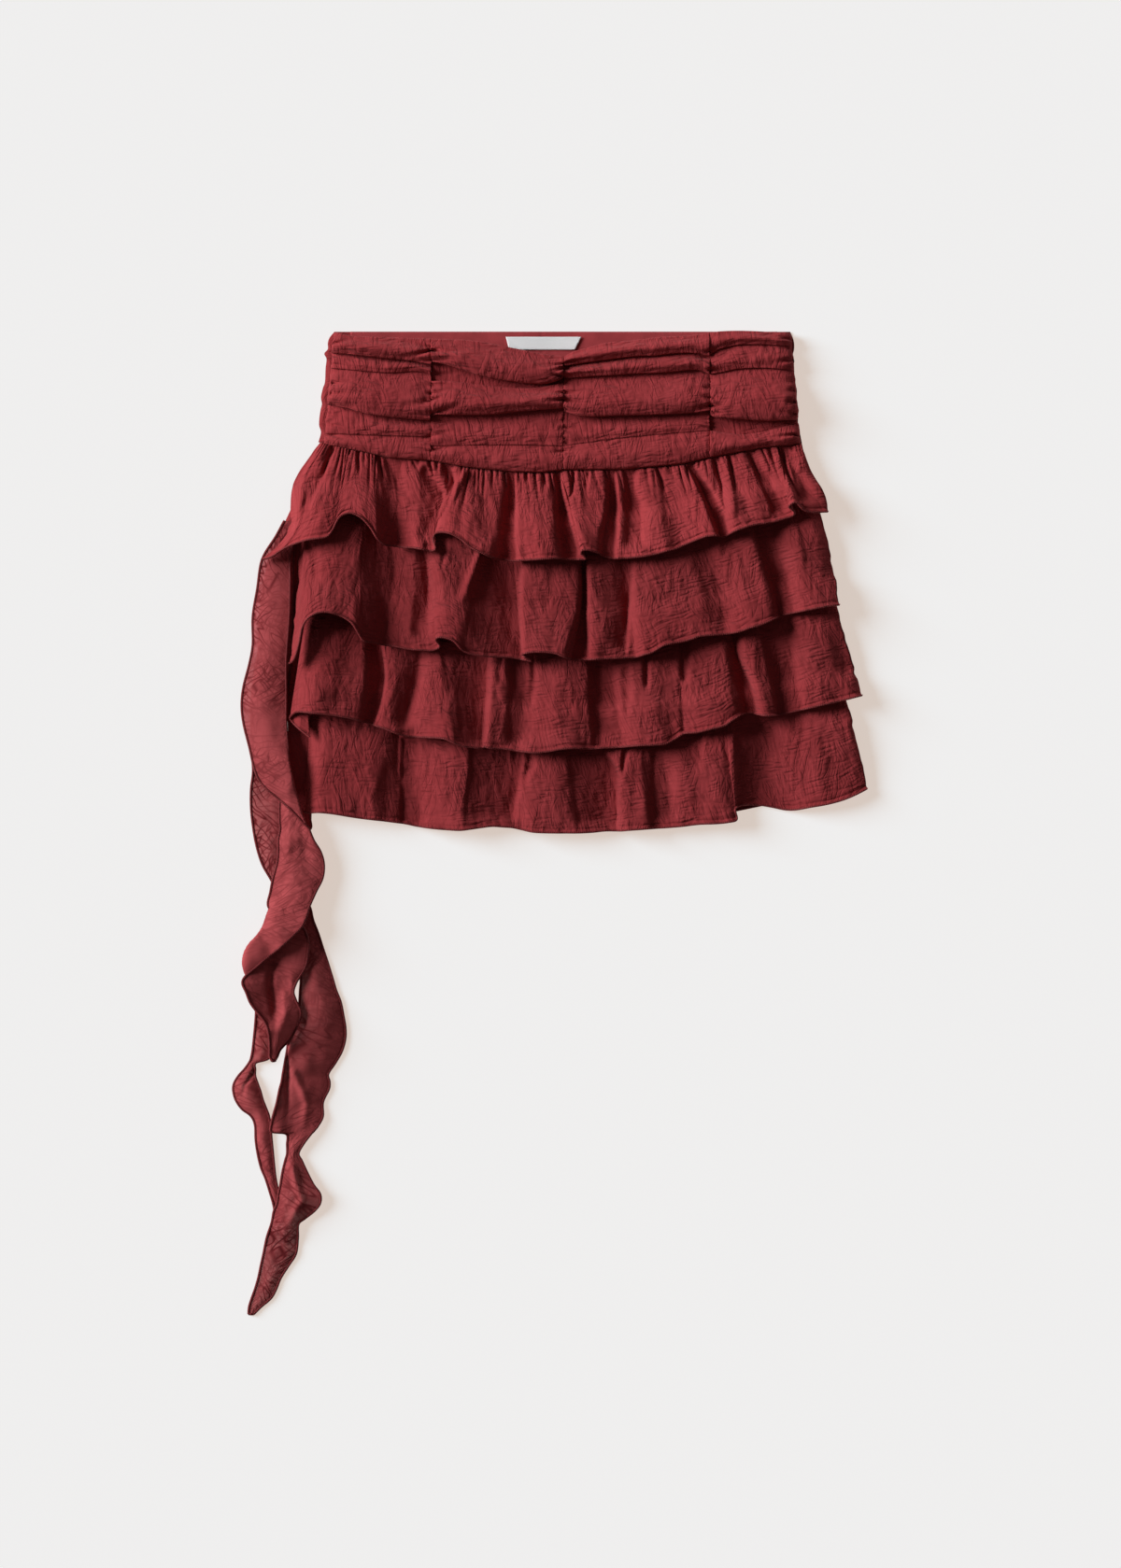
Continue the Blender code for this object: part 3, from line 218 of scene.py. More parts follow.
# Front ruffles, one row for each crest or trough of the cloth, from left to right: X at the seam,
# X and Y at the hem, height of the wave at the hem, and how far the line between them bends, if it does.
# Where X at the hem steps back, the cloth folds over itself.
FOLDS = {
    1: [
        (-186, -230, 16.5, 0.5, 9), (-183, -222, 18.5, 3, 8), (-179, -211, 25.5, 3, 5),
        (-174, -195, 30.5, 4, 2), (-169.5, -181, 32.5, 3), (-166, -176, 37.5, 2), (-162.5, -170.5, 47.5, 2),
        (-157.5, -162.5, 51, 2.5), (-152.5, -154, 47.5, 3), (-147.5, -147, 40, 3), (-144, -142, 32, 3),
        (-140.5, -136.5, 27.5, 2), (-135.5, -128.5, 26.5, 3), (-130.5, -121.5, 25.5, 4.5),
        (-124, -114.5, 25, 3), (-116.5, -107, 23.5, 0), (-108.5, -102, 22.5, -2), (-101, -98, 24, -2),
        (-91.5, -100, 31, -1), (-84.5, -97.5, 36, 1.5), (-76.5, -89, 36, 6.5), (-72.5, -80, 32, 8.5),
        (-66.5, -71.5, 25, 7.5), (-60.5, -62.5, 20.5, 6), (-54, -54, 17, 4.5), (-48.5, -46, 16, 3),
        (-42, -40, 15, 2), (-36, -33.5, 15, 6), (-30, -25, 15.5, 8), (-22, -15, 16, 9.5),
        (-15, -8, 16.5, 8.5), (-9, 2, 16, 3), (-5.5, 10.5, 16, 3), (-3.5, 15.5, 16.5, 4),
        (-1.5, 12, 20.5, 6), (2, 14, 23, 8), (8.5, 22, 22, 8), (16.5, 30.5, 18.5, 6), (25, 37.5, 17, 6),
        (32, 44, 17, 3), (39, 52, 17.5, 4), (47.5, 60.5, 18.5, 4.5), (56, 68, 20, 3), (64, 75.5, 22, 4),
        (71.5, 83, 24, 1.5), (79, 90, 27, 2), (86, 98.5, 30.5, 4.5), (91.5, 107, 33.5, 7.5),
        (95, 115, 34, 8), (98.5, 118, 33.5, 4), (104.5, 121.5, 34, 2.5), (111.5, 128.5, 37.5, 8),
        (118.5, 136.5, 40.5, 8.5), (125.5, 144, 42.5, 7), (133.5, 151, 43.5, 5), (140.5, 158.5, 45, 3),
        (147, 165.5, 47, 1), (153.5, 172.5, 49.5, 0), (158.5, 173, 52.5, 4), (162.5, 169, 56, 9),
        (167, 174, 59, 11), (171, 179.5, 54, 7), (174.5, 185.5, 52, 4.5), (179, 199, 52.5, 0.5, 2),
    ],
    2: [
        (-201, -208, -62.5, 0.5, 2), (-198, -204.5, -59, 3, 1.5), (-195, -201, -49, 6),
        (-187, -197.5, -34, 10), (-174, -190.5, -26.5, 14), (-161, -181.5, -24, 16),
        (-156, -170, -26.5, 15), (-153.5, -161, -32, 13.5), (-152, -155.5, -40.5, 12),
        (-150.5, -152, -45.5, 10.5), (-148.5, -144, -47, 6.5), (-144, -135.5, -48.5, 2),
        (-140, -128.5, -49.5, 2), (-134, -121.5, -51, 2.5), (-128, -115, -52, 1.5), (-120, -107, -52.5, 0),
        (-113, -99.5, -52.5, 0), (-108.5, -94.5, -49.5, 2), (-106, -97.5, -44.5, 8), (-101.5, -93, -43, 12),
        (-94.5, -84.5, -45.5, 14), (-84.5, -77.5, -52.5, 13.5), (-77.5, -70.5, -55.5, 13),
        (-70.5, -60.5, -57, 10), (-62, -50.5, -57.5, 6.5), (-53, -40.5, -58, 4), (-47.5, -32, -59.5, 3),
        (-43.5, -25.5, -60.5, 4), (-40.5, -32.5, -56.5, 9), (-35, -27.5, -54.5, 12), (-25, -18, -54, 13),
        (-13.5, -8, -55, 13), (-2, -1.5, -57.5, 12, 3.5), (6.5, 3, -59, 9.5, 6.5), (10, 5, -59.5, 3, 5.5),
        (13, 12, -59.5, 2.5, 2), (16.5, 22, -59.5, 8), (22, 30.5, -59, 7.5), (28.5, 39, -58.5, 5),
        (35.5, 47.5, -58, 3), (41.5, 53.5, -57.7, 1.5), (47, 59.5, -56, 8), (53, 66, -54, 9.5),
        (60.5, 74.5, -49, 10), (69, 83, -47, 9), (77.5, 93, -45, 8), (86, 101.5, -42, 7),
        (94.5, 111.5, -41, 6), (104.5, 123, -40, 2.5), (114.5, 131.5, -38.5, 3.5), (123, 138.5, -36, 5),
        (130, 147, -33.5, 6.5), (135.5, 155.5, -30, 7), (140, 162.5, -26.5, 2.5), (147, 170.5, -24.5, 2.5),
        (157, 181, -22.5, 6), (168.5, 191, -20.5, 6.5), (178, 199.5, -19, 6), (189.5, 207.5, -18, 4, 1.5),
    ],
    3: [
        (-196, -193.5, -118, 0.5), (-195.5, -200, -113, 0.5), (-195, -206, -107.5, 1),
        (-194, -208.5, -103.5, 3), (-191, -205, -100, 7), (-186.5, -201, -99, 11), (-179.5, -191, -100, 14),
        (-171, -177.5, -101.5, 12), (-160, -164, -103.5, 8.5, 1.5), (-148.5, -152.5, -106.5, 5, 3),
        (-140, -145.5, -108.5, 3, 3), (-136.5, -142, -110, 2, 2), (-132, -135.5, -112, 4),
        (-127, -128.5, -115, 4.5), (-121.5, -121.5, -117, 2.5), (-114.5, -112, -118, 2),
        (-105, -101, -118.5, 6), (-97.5, -91, -119.5, 9), (-91, -83, -123, 10), (-84, -76.5, -125, 7.5),
        (-76, -69.5, -126, 4.5), (-66, -63, -126.5, 3), (-59.5, -61, -125.5, 4, 2),
        (-55.5, -56, -126.5, 6.5), (-47, -45.5, -127, 5.5), (-37.5, -33, -129, 3.5), (-29, -23, -130, 4),
        (-20.5, -12.5, -129, 5), (-10.5, -1, -127, 6.5), (-0.5, 10.5, -126.5, 6), (7, 19, -127, 4),
        (14, 27, -126.5, 2.5), (22, 35.5, -126, 2), (30.5, 44.5, -125.5, 3.5), (40.5, 56, -124.5, 5.5),
        (51, 67.5, -124, 6), (60.5, 76, -123, 5), (67.5, 83, -119.5, 3), (74.5, 90, -115.5, 3),
        (83, 100, -114.5, 5), (93, 110, -112, 6), (101.5, 120, -109.5, 6), (108, 127, -105, 6),
        (112, 133.5, -101, 4.5), (117, 140.5, -99.5, 2), (123, 146.5, -101, 6), (130.5, 152.5, -102, 8.5),
        (138.5, 160, -101.5, 6), (147, 167, -100, 2), (157, 174, -98.5, 2), (168.5, 185.5, -96, 2.5),
        (179.5, 198, -93, 2.5), (189.5, 211, -90, 2.5), (202.5, 224.5, -86.5, 2),
    ],
    4: [
        (-191, -199, -175, 0.5), (-187.5, -194.5, -175.5, 4), (-182, -187, -175, 7), (-174, -176, -176, 9),
        (-164, -164, -178, 8), (-155, -154, -179.5, 7), (-146.5, -145.5, -180.5, 7),
        (-137.5, -136.5, -181.5, 4), (-130.5, -129, -182.5, 3.4), (-123.5, -121.5, -183.5, 2.6),
        (-115.5, -112, -185.5, 1.6), (-107, -101.5, -187, 5), (-97.5, -90, -188, 8.5),
        (-87.5, -79.5, -188.5, 10.5), (-78, -71, -187.5, 10), (-71.5, -64, -186.5, 7.5),
        (-64, -55.5, -185.5, 5.5), (-56, -47, -186, 4), (-49, -40, -186.5, 2.5), (-42, -33, -188, 2.5),
        (-34, -23.5, -190, 7.5), (-20.5, -9, -190.5, 9.5), (-10.5, 0.5, -190.5, 9),
        (-1.5, 10.5, -190.5, 7.5), (9, 20.5, -190, 5.5), (20, 30.5, -189, 3.5), (30, 38.5, -189, 2.5),
        (37, 43, -189, 7), (42, 48.5, -188.5, 9.5), (47.5, 56, -188, 9.5), (54, 62.5, -187.5, 9.2),
        (59.5, 69, -187, 4.5), (67.5, 77.5, -186.5, 5), (77.5, 89, -185.5, 7), (89, 101.5, -184, 8),
        (101.5, 114.5, -183.5, 10), (111.5, 124, -182.5, 11), (118.5, 130, -180.5, 9),
        (123, 129, -172.5, 9), (128.5, 135, -169.5, 7.5), (138.5, 147, -169.5, 4.5),
        (148.5, 157, -171, 2.5), (158.5, 167, -173, 2.8), (168.5, 175.5, -173, 3.6),
        (178, 186.5, -171, 5.6), (188, 198, -169, 7), (196.5, 209.5, -166, 7), (204.5, 219.5, -162, 6),
        (211.5, 229.5, -157, 3.5),
    ],
}

# How early each front ruffle's waves rise from the seam, and which one bends twice at its sides
HANG = {1: 0.75, 2: 0.5, 3: 0.6, 4: 0.6}
BENDS_TWICE = 1

# Single creases of the ruffles: depth (a ridge is below 0), width, and their course from the seam down
CREASES = {
    1: [
        (2.0, 2.0, [(-176, 100), (-184.5, 80), (-191.5, 59)]),
        (2.0, 1.2, [(-157.5, 98), (-155.5, 79)]),
        (1.2, 1.0, [(-162.5, 100), (-164, 94.5)]),
        (2.0, 1.3, [(-142, 94.5), (-137.5, 76.5)]),
        (1.2, 1.0, [(-115, 90), (-112, 84)]),
        (2.0, 1.2, [(-90, 87.5), (-89, 73)]),
        (-2.0, 2.5, [(-76.5, 82), (-83, 69.5), (-90, 55.5), (-97, 39)]),
        (1.2, 1.0, [(-59.5, 85), (-57.5, 80)]),
        (1.2, 1.0, [(-55.5, 84.5), (-54, 79)]),
        (3.0, 1.5, [(-40.5, 84.5), (-39, 66), (-38.5, 53.5)]),
        (1.6, 1.1, [(-30, 82.5), (-30, 73)]),
        (1.3, 1.0, [(-22.5, 82), (-22.5, 76.5)]),
        (2.0, 1.2, [(-16.5, 82.5), (-14, 69.5)]),
        (2.2, 1.3, [(6.5, 82), (5, 66), (3, 61)]),
        (1.8, 1.2, [(17, 82.5), (17, 69.5)]),
        (2.0, 1.3, [(35, 83), (37.5, 69.5), (39, 55.5)]),
        (1.8, 1.2, [(49, 82.5), (52, 62.5)]),
        (2.0, 1.3, [(69.5, 86), (73, 76.5), (76, 66)]),
        (1.3, 1.0, [(78, 87.5), (80, 80)]),
        (1.5, 1.6, [(93.5, 86), (101.5, 73), (110, 52), (117, 34)]),
        (1.3, 1.0, [(102, 91), (101.5, 84)]),
        (2.0, 1.4, [(113, 94.5), (115.5, 84), (118.5, 73), (121.5, 44.5)]),
        (2.0, 1.3, [(124.5, 94.5), (130, 66)]),
        (2.0, 1.3, [(139, 98), (149, 76.5)]),
        (1.6, 1.1, [(154, 101.5), (157.5, 91)]),
        (2.2, 1.4, [(164, 101.5), (167, 87.5), (172.5, 69.5), (179.5, 57.5)]),
        (1.2, 1.0, [(172, 103), (173, 98)]),
    ],
    2: [
        (-2.5, 3.0, [(-64.5, 20), (-71, 2), (-76.5, -12), (-81, -19)]),
    ],
}

# Valleys between the ruffles' folds: depth, how far the cloth takes to fall into them on the left and
# to rise out of them on the right, and their two sides from the seam down, as Y, left and right. The
# cloth falls on from one side to the other; a fold rolls over into a valley whose fall is long.
VALLEYS = {
    1: [
        (1.6, 1.5, 3, [(103, -177.5, -176), (87.5, -186, -183), (66, -194.5, -191), (43.5, -202.5, -198)]),
        (6.5, 9, 11, [(96, -137.5, -133), (80, -137.5, -129), (59, -138.5, -127), (41, -139.5, -127),
         (30.5, -140, -127)]),
        (5.5, 6, 4, [(81.5, -108.5, -106), (66, -113.5, -93), (52, -117, -96), (34, -120, -101.5)]),
        (6, 6, 1.3, [(87.5, -89.5, -88), (79, -88, -85), (70.5, -90, -84.5), (55.5, -96, -90),
         (41, -101.5, -97.5), (27, -104.5, -101.5)]),
        (6.5, 3, 1.2, [(85, -41.3, -40.3), (73, -41, -39), (55.5, -44, -38.5), (37.5, -46, -38.5),
         (19, -47.5, -37.5)]),
        (7, 2, 1.5, [(85, -6, -5), (69.5, -5, -3.5), (55.5, -4.3, 0), (37.5, -4, 4.5), (22, -1, 8)]),
        (7, 2, 2.5, [(85, 34, 35), (73, 34, 36), (55.5, 33.5, 37.5), (34, 28.5, 37),
         (18.5, 28.5, 36)]),
        (7, 4.5, 4, [(85, 48.5, 49.5), (69.5, 49, 51), (55.5, 49, 56), (30.5, 49, 57.5)]),
        (1.1, 1.5, 9, [(85, 69.5, 71), (73, 73, 77.5), (59, 75.5, 83), (43.5, 76.5, 87.5)]),
        (5.5, 1.8, 2.5, [(87.5, 94.5, 96), (75.5, 101.5, 104.5), (62.5, 106.5, 113),
         (48.5, 111.5, 119.5), (34, 117, 121.5)]),
        (2.5, 3, 3, [(94.5, 113, 114.5), (82.5, 114.5, 118.5), (66, 115.5, 121.5), (55.5, 117, 121.5)]),
        (1.6, 1.5, 6, [(96, 123.5, 125), (80, 126.5, 129), (66, 129, 133.5), (52, 130.5, 136.5)]),
        (3.5, 1.4, 5, [(98, 139, 140.5), (87.5, 142.5, 147), (73, 149, 156), (55.5, 157, 163.5)]),
        (5, 2, 6, [(103, 165.5, 167), (87.5, 165.5, 171), (76.5, 171, 178), (66, 176, 182.5)]),
    ],
    2: [
        (2, 2, 2, [(27, -195, -193), (16.5, -190.5, -187.5), (5.5, -189.5, -187.5)]),
        (5.5, 14, 16, [(34, -147, -138), (23.5, -146, -131), (2, -146, -131), (-19, -147, -134),
         (-47.5, -149, -138)]),
        (6, 7, 5, [(23.5, -116, -106), (2, -117, -104.5), (-19, -118, -105), (-37, -119, -108.5)]),
        (1.5, 1, 1.5, [(28.5, -92.5, -90), (20, -93, -91), (14, -93.5, -92.5)]),
        (7, 3, 1.5, [(23.5, -62, -53), (16.5, -63, -35), (2, -65, -35), (-12, -68, -35),
         (-26.5, -71.5, -35), (-54.5, -76, -33.5)]),
        (0.8, 1.5, 4, [(13, -10, -8), (-1.5, -12, -9), (-15.5, -15.5, -13)]),
        (5, 2, 1, [(16.5, 13.5, 15), (2, 13.5, 15.5), (-12, 13.5, 15.5), (-30, 10.5, 15.5),
         (-44, 5.5, 16.5), (-54.5, 2, 16.5)]),
        (6, 9, 1.5, [(18, 40.5, 49.5), (2, 37, 49.5), (-12, 35.5, 48.5), (-30, 35.5, 47),
         (-47.5, 35.5, 45.5)]),
        (2.2, 4, 10, [(27, 97.5, 101.5), (9, 103, 111.5), (-12, 109.5, 120.5), (-30, 111.5, 124)]),
        (1.5, 2, 3, [(34, 120, 121.5), (23.5, 120.5, 123)]),
        (6.5, 1.5, 7, [(41, 142.5, 155.5), (27, 147.5, 161), (9, 153.5, 165.5), (-8.5, 158.5, 168.5),
         (-22.5, 162, 169.5)]),
        (1.5, 1.5, 6, [(44.5, 175.5, 178), (34, 179.5, 184), (16.5, 182.5, 189.5)]),
    ],
    3: [
        (1, 5, 14, [(-47.5, -168.5, -162.5), (-69, -174, -168.5), (-90, -179.5, -174)]),
        (7.5, 3, 1.3, [(-47.5, -147, -140), (-69, -146.5, -137.5), (-83, -147.5, -138.5),
         (-97.5, -149, -142), (-108, -150.5, -145.5)]),
        (5, 6, 6, [(-54.5, -117, -110), (-69, -121, -112), (-86.5, -127, -116),
         (-104.5, -133, -121.5)]),
        (6, 3, 2, [(-54.5, -91.5, -59), (-76, -88, -59.5), (-97.5, -85, -61), (-118.5, -81, -63)]),
        (1.5, 1.5, 1.5, [(-58, -49, -47.5), (-72.5, -50.5, -49)]),
        (5, 4, 15, [(-58, -39, -34), (-76, -38.5, -32.5), (-97.5, -40, -32), (-118.5, -41, -31)]),
        (5, 2, 2.5, [(-58, -25.5, -23.5), (-76, -26, -23), (-95, -29, -26)]),
        (8, 1.5, 8, [(-60.5, 20, 33), (-83, 19.5, 35), (-104.5, 21, 37), (-122, 22, 38)]),
        (4, 2, 2, [(-69, 43.5, 47.5), (-83, 43.5, 48.5), (-97.5, 44.5, 47.5)]),
        (3, 1.5, 1.2, [(-57, 60.5, 62.5), (-69, 61, 62.5), (-76, 61, 62)]),
        (4, 1.2, 3, [(-47.5, 86.5, 91.5), (-62, 88, 92.5), (-72.5, 89, 91.5)]),
        (1.5, 1, 10, [(-47.5, 86.5, 89), (-83, 87.5, 91.5), (-111.5, 89, 93)]),
        (8, 6, 2.5, [(-40.5, 125.5, 129), (-54.5, 127, 130), (-69, 128.5, 135.5), (-86.5, 127, 141.5),
         (-101, 125.5, 142.5)]),
        (7.5, 1.4, 7, [(-32, 147, 165.5), (-47.5, 151, 168.5), (-65.5, 155, 169.5), (-83, 158.5, 171),
         (-97.5, 161, 172.5)]),
    ],
    4: [
        (5, 10, 3, [(-118.5, -128, -126.5), (-133, -129, -126.5), (-143.5, -132, -127),
         (-157.5, -135, -124), (-179, -136.5, -120)]),
        (6, 2, 20, [(-122, -124, -119), (-140, -124, -119.5), (-157.5, -124, -118), (-179, -124, -117)]),
        (5.5, 1.5, 3, [(-125.5, -71.5, -44), (-140, -71, -42), (-154, -73, -41), (-175.5, -75.5, -40)]),
        (6, 3, 1.5, [(-128, -40, -33), (-143.5, -40, -33.5), (-157.5, -41.5, -36), (-172, -43, -39)]),
        (4, 2, 1, [(-128, -28, -25), (-140, -29, -25), (-148.5, -32, -29)]),
        (7, 3, 1.5, [(-129, 3.5, 28), (-143.5, 5, 38.5), (-161, 8, 39), (-179, 10.5, 39)]),
        (3, 1.5, 1.2, [(-125.5, 45.5, 48.5), (-134, 44, 46), (-140, 43.5, 44.5)]),
        (3.5, 2.5, 6, [(-127, 67.5, 73), (-140, 67.5, 75.5), (-157.5, 67.5, 78), (-175.5, 68.5, 80)]),
        (2.5, 4, 1.2, [(-115, 92.5, 103), (-125.5, 94.5, 103), (-136.5, 97.5, 103)]),
        (6.5, 1, 19, [(-103, 128.5, 147), (-118.5, 129, 149), (-140, 130, 151), (-161, 130.5, 152.5),
         (-174, 131.5, 154)]),
        (2, 3, 5, [(-103, 170.5, 177.5), (-115, 174, 179.5)]),
    ],
}

# Back ruffles, which lie flat: X at the seam, and X and Y at the hem
BACK_HEMS = {
    1: [
        (-185, -223, 24), (-148, -150, 28), (-75, -76, 26), (0, 0, 25), (75, 78, 31),
        (140, 152, 46), (178, 196, 54),
    ],
    2: [
        (-205, -212, -58), (-150, -150, -46), (-75, -72, -53), (0, 4, -56), (75, 84, -46),
        (140, 152, -30), (188, 205, -17),
    ],
    3: [
        (-208, -213, -104), (-197, -207, -107), (-189, -202, -112), (-184, -197, -114),
        (-178, -191, -116.5), (-145, -148, -114), (-75, -72, -122), (0, 6, -124), (75, 86, -116),
        (140, 156, -98), (201, 222, -87),
    ],
    4: [
        (-212, -207, -186), (-199, -198, -188.5), (-191, -193, -187), (-188, -190, -172),
        (-145, -148, -174), (-75, -72, -182), (0, 8, -186), (75, 88, -181), (140, 158, -168),
        (210, 226, -154),
    ],
}

# Left and right of the base skirt, at its top and its bottom
BASE_TOP = (-178, 172)
BASE_LOW = (-180, 198)

# The yoke's upright seams, from left to right: X at the waist and at the lower seam
YOKE_SEAMS = [(-175.5, -183.0), (-101.55, -101.55), (-1.25, -1.25), (109.75, 109.75), (171.5, 178.5)]

# The ruched panels between them, from left to right, as their creases from the waist down: the course of
# each, and the relief just above and just below it. The lower seam ends each panel.
YOKE_PANELS = {
    "yoke_side_left": [
        ([(-176, 189), (-165, 186.5), (-150, 185.5), (-102, 184)], 0.0, 2.2),
        ([(-179, 174.7), (-141, 170.4), (-119, 168.3), (-102, 165.4)], 4.8, 0.6),
        ([(-178, 162.6), (-137, 159), (-113.6, 160), (-102, 157.6)], 3.4, 2.0),
        ([(-178, 135.6), (-164, 132.1), (-149, 127.8), (-127, 125), (-102, 122.8)], 6.2, 0.5),
        ([(-183, 113), (-150, 111.5), (-130, 110.8), (-102, 110)], 2.8, 1.9),
    ],
    "yoke_front_left": [
        ([(-101, 184), (-88, 183.5), (-74, 183), (-60, 181), (-32, 175.5), (-14, 172), (0, 171)], 0.0, 2.2),
        ([(-101.5, 167.6), (-89, 164.7), (-74.5, 159.8), (-60.5, 155.7), (-46, 153.2), (-32, 151.3),
          (-18, 150.4), (-10.5, 151.5), (-3.5, 154), (-0.7, 156.5)], 6.5, 0.0),
        ([(-101.5, 150.5), (-89, 150.5), (-74.5, 149), (-53, 146.3), (-39, 145.2), (-25, 145.2),
          (-14, 146.8), (-0.7, 149.5)], 0.2, 3.6),
        ([(-101, 127.1), (-60, 127.1), (-39, 129.2), (-21, 130.6), (-0.7, 132.1)], 6.6, 0.5),
        ([(-101, 103), (-50, 103.5), (-1, 103)], 3.0, 2.4),
    ],
    "yoke_front_right": [
        ([(0, 171), (7, 174.5), (18, 177.5), (32, 181), (53, 183), (74, 185.5), (96, 186.7),
          (110, 188.8)], 0.0, 2.2),
        ([(-1, 164.5), (10.5, 166), (32, 169), (53, 171.5), (67.5, 172), (82, 173.6), (96, 174),
          (109.5, 171.8)], 4.4, 1.0),
        ([(-0.7, 154.8), (18, 156.2), (32, 156.9), (53, 158.3), (67.5, 158.7), (82, 159.8), (99.5, 161.2),
          (109.5, 158.3)], 5.0, 1.4),
        ([(-1.4, 130), (7, 127.2), (18, 125.7), (39, 126.4), (67.5, 127.1), (96, 128.5),
          (109.5, 130.3)], 6.6, 0.5),
        ([(-1, 103), (54, 110), (109.5, 114.5)], 2.8, 2.4),
    ],
    "yoke_side_right": [
        ([(110, 188.8), (121, 189.8), (140, 190), (171, 188.5)], 0.0, 2.2),
        ([(110, 173), (117, 176.8), (128, 179.6), (138.5, 180.5), (156, 180.3), (173, 179.5)], 3.2, 1.4),
        ([(110, 158), (120.5, 159.8), (131.5, 161.9), (152.5, 162.6), (174, 161)], 3.6, 1.8),
        ([(110, 127.3), (115.5, 125), (138.5, 123.2), (152.5, 122.5), (176, 123.7)], 7.0, 0.0),
        ([(110, 113), (131.5, 110), (145.5, 111.5), (160, 115), (177, 119.3)], 0.2, 3.6),
    ],
}
LOWER_SEAM_RELIEF = 2.5

# Small puckers that run out from the yoke's upright seams: X of the seam, and Y of each
PUCKERS = [
    (-101.5, [177.5, 174.5, 167.5, 162.5, 157.5, 153.5, 148.5, 142, 137, 126.5, 121.5, 110, 98.5]),
    (-1.2, [164.5, 161, 154.5, 150, 142.5, 137, 130, 121.5, 116, 108.5, 104.5, 98.5]),
    (109.7, [174, 169.5, 159.5, 152, 147, 138.5, 132.5, 126.5, 123, 119.5, 116]),
    (-177, [180, 172, 165, 158, 150, 142, 134, 127, 119, 111]),
    (173, [183, 176, 168, 160, 152, 144, 136, 127, 119, 111]),
]

# Short creases inside the yoke's panels: depth, width, course
YOKE_CREASES = [
    (1.3, 1.0, [(-101, 175.4), (-89, 177.5)]),
    (1.5, 1.1, [(-100.5, 157), (-81.5, 158.3)]),
    (1.3, 1.0, [(-101, 142), (-89, 142.7)]),
    (1.4, 1.0, [(-100, 120.7), (-79.5, 119.3)]),
    (1.4, 1.1, [(104.5, 169), (115.5, 174)]),
    (1.2, 2.5, [(110, 141.5), (131.5, 143.5), (142, 145.5)]),
    (1.5, 1.2, [(-182, 119.3), (-177.5, 122), (-172.5, 122.8)]),
    (1.6, 2.5, [(-176, 166.5), (-165, 167), (-155.5, 166)]),
]

# The back of the yoke: Y, left and right, from the waist down
YOKE_BACK_OUTLINE = [
    (190, -175.3, 171), (185.5, -179, 173), (181.5, -180.3, 174), (177, -180.3, 174), (173.5, -183, 173.2),
    (169.5, -181.3, 173), (162.5, -182, 173.5), (152, -182.5, 174), (147.5, -184, 176), (140.5, -185.5, 176),
    (135.5, -184.8, 176), (130, -186, 177), (120, -187, 177), (114, -185.5, 178.5), (106.5, -187.5, 180),
]

# The facing and the label, each from its top edge to its bottom edge as Y, left and right
FACING_TOP = (190.0, -163.0, 161.0)
FACING_BOTTOM = (146.0, -163.0, 161.0)
BACK_SEAM_X = -17.8  # the seam at the middle of the back, which shows in the facing
FACING_SEAM = [(-0.35, 0.0, 0.7), (0.15, 2.5, 2.0)]  # its groove and its ridges: height, place and width
LABEL_TOP = (186.0, -45.0, 12.5)
LABEL_BOTTOM = (176.2, -42.5, 7.5)
LABEL_WAVE = (0.12, 6.0)

# Side ties. The plain ones: Y, left edge, right edge, rise of the middle.
NARROW_TIE = [
    (-262, -226, -214, 0.5), (-280, -231, -219, 0.5), (-296, -233, -222, 0.5),
    (-314, -234.5, -223, 0.5), (-331.5, -235, -223.5, 1),
    (-353, -237, -223.5, 2), (-362, -238.5, -225, 2), (-365.5, -240, -235, 1),
    (-370.5, -243.5, -235.5, 2), (-375.5, -248, -235.5, 4), (-381.5, -251.5, -233.5, 6),
    (-387, -252, -231.5, 7), (-394, -250, -229.5, 7), (-400.5, -245.5, -227, 5),
    (-406, -238.5, -225, 3), (-413, -235.5, -224, 3), (-424, -235, -223, 4),
    (-434.5, -233.5, -222, 3), (-445, -231, -221, 3), (-453.5, -227.5, -220, 3),
    (-463, -224.5, -218, 2), (-473.5, -221.5, -215, 1), (-486.5, -219.5, -213, 0.5),
]
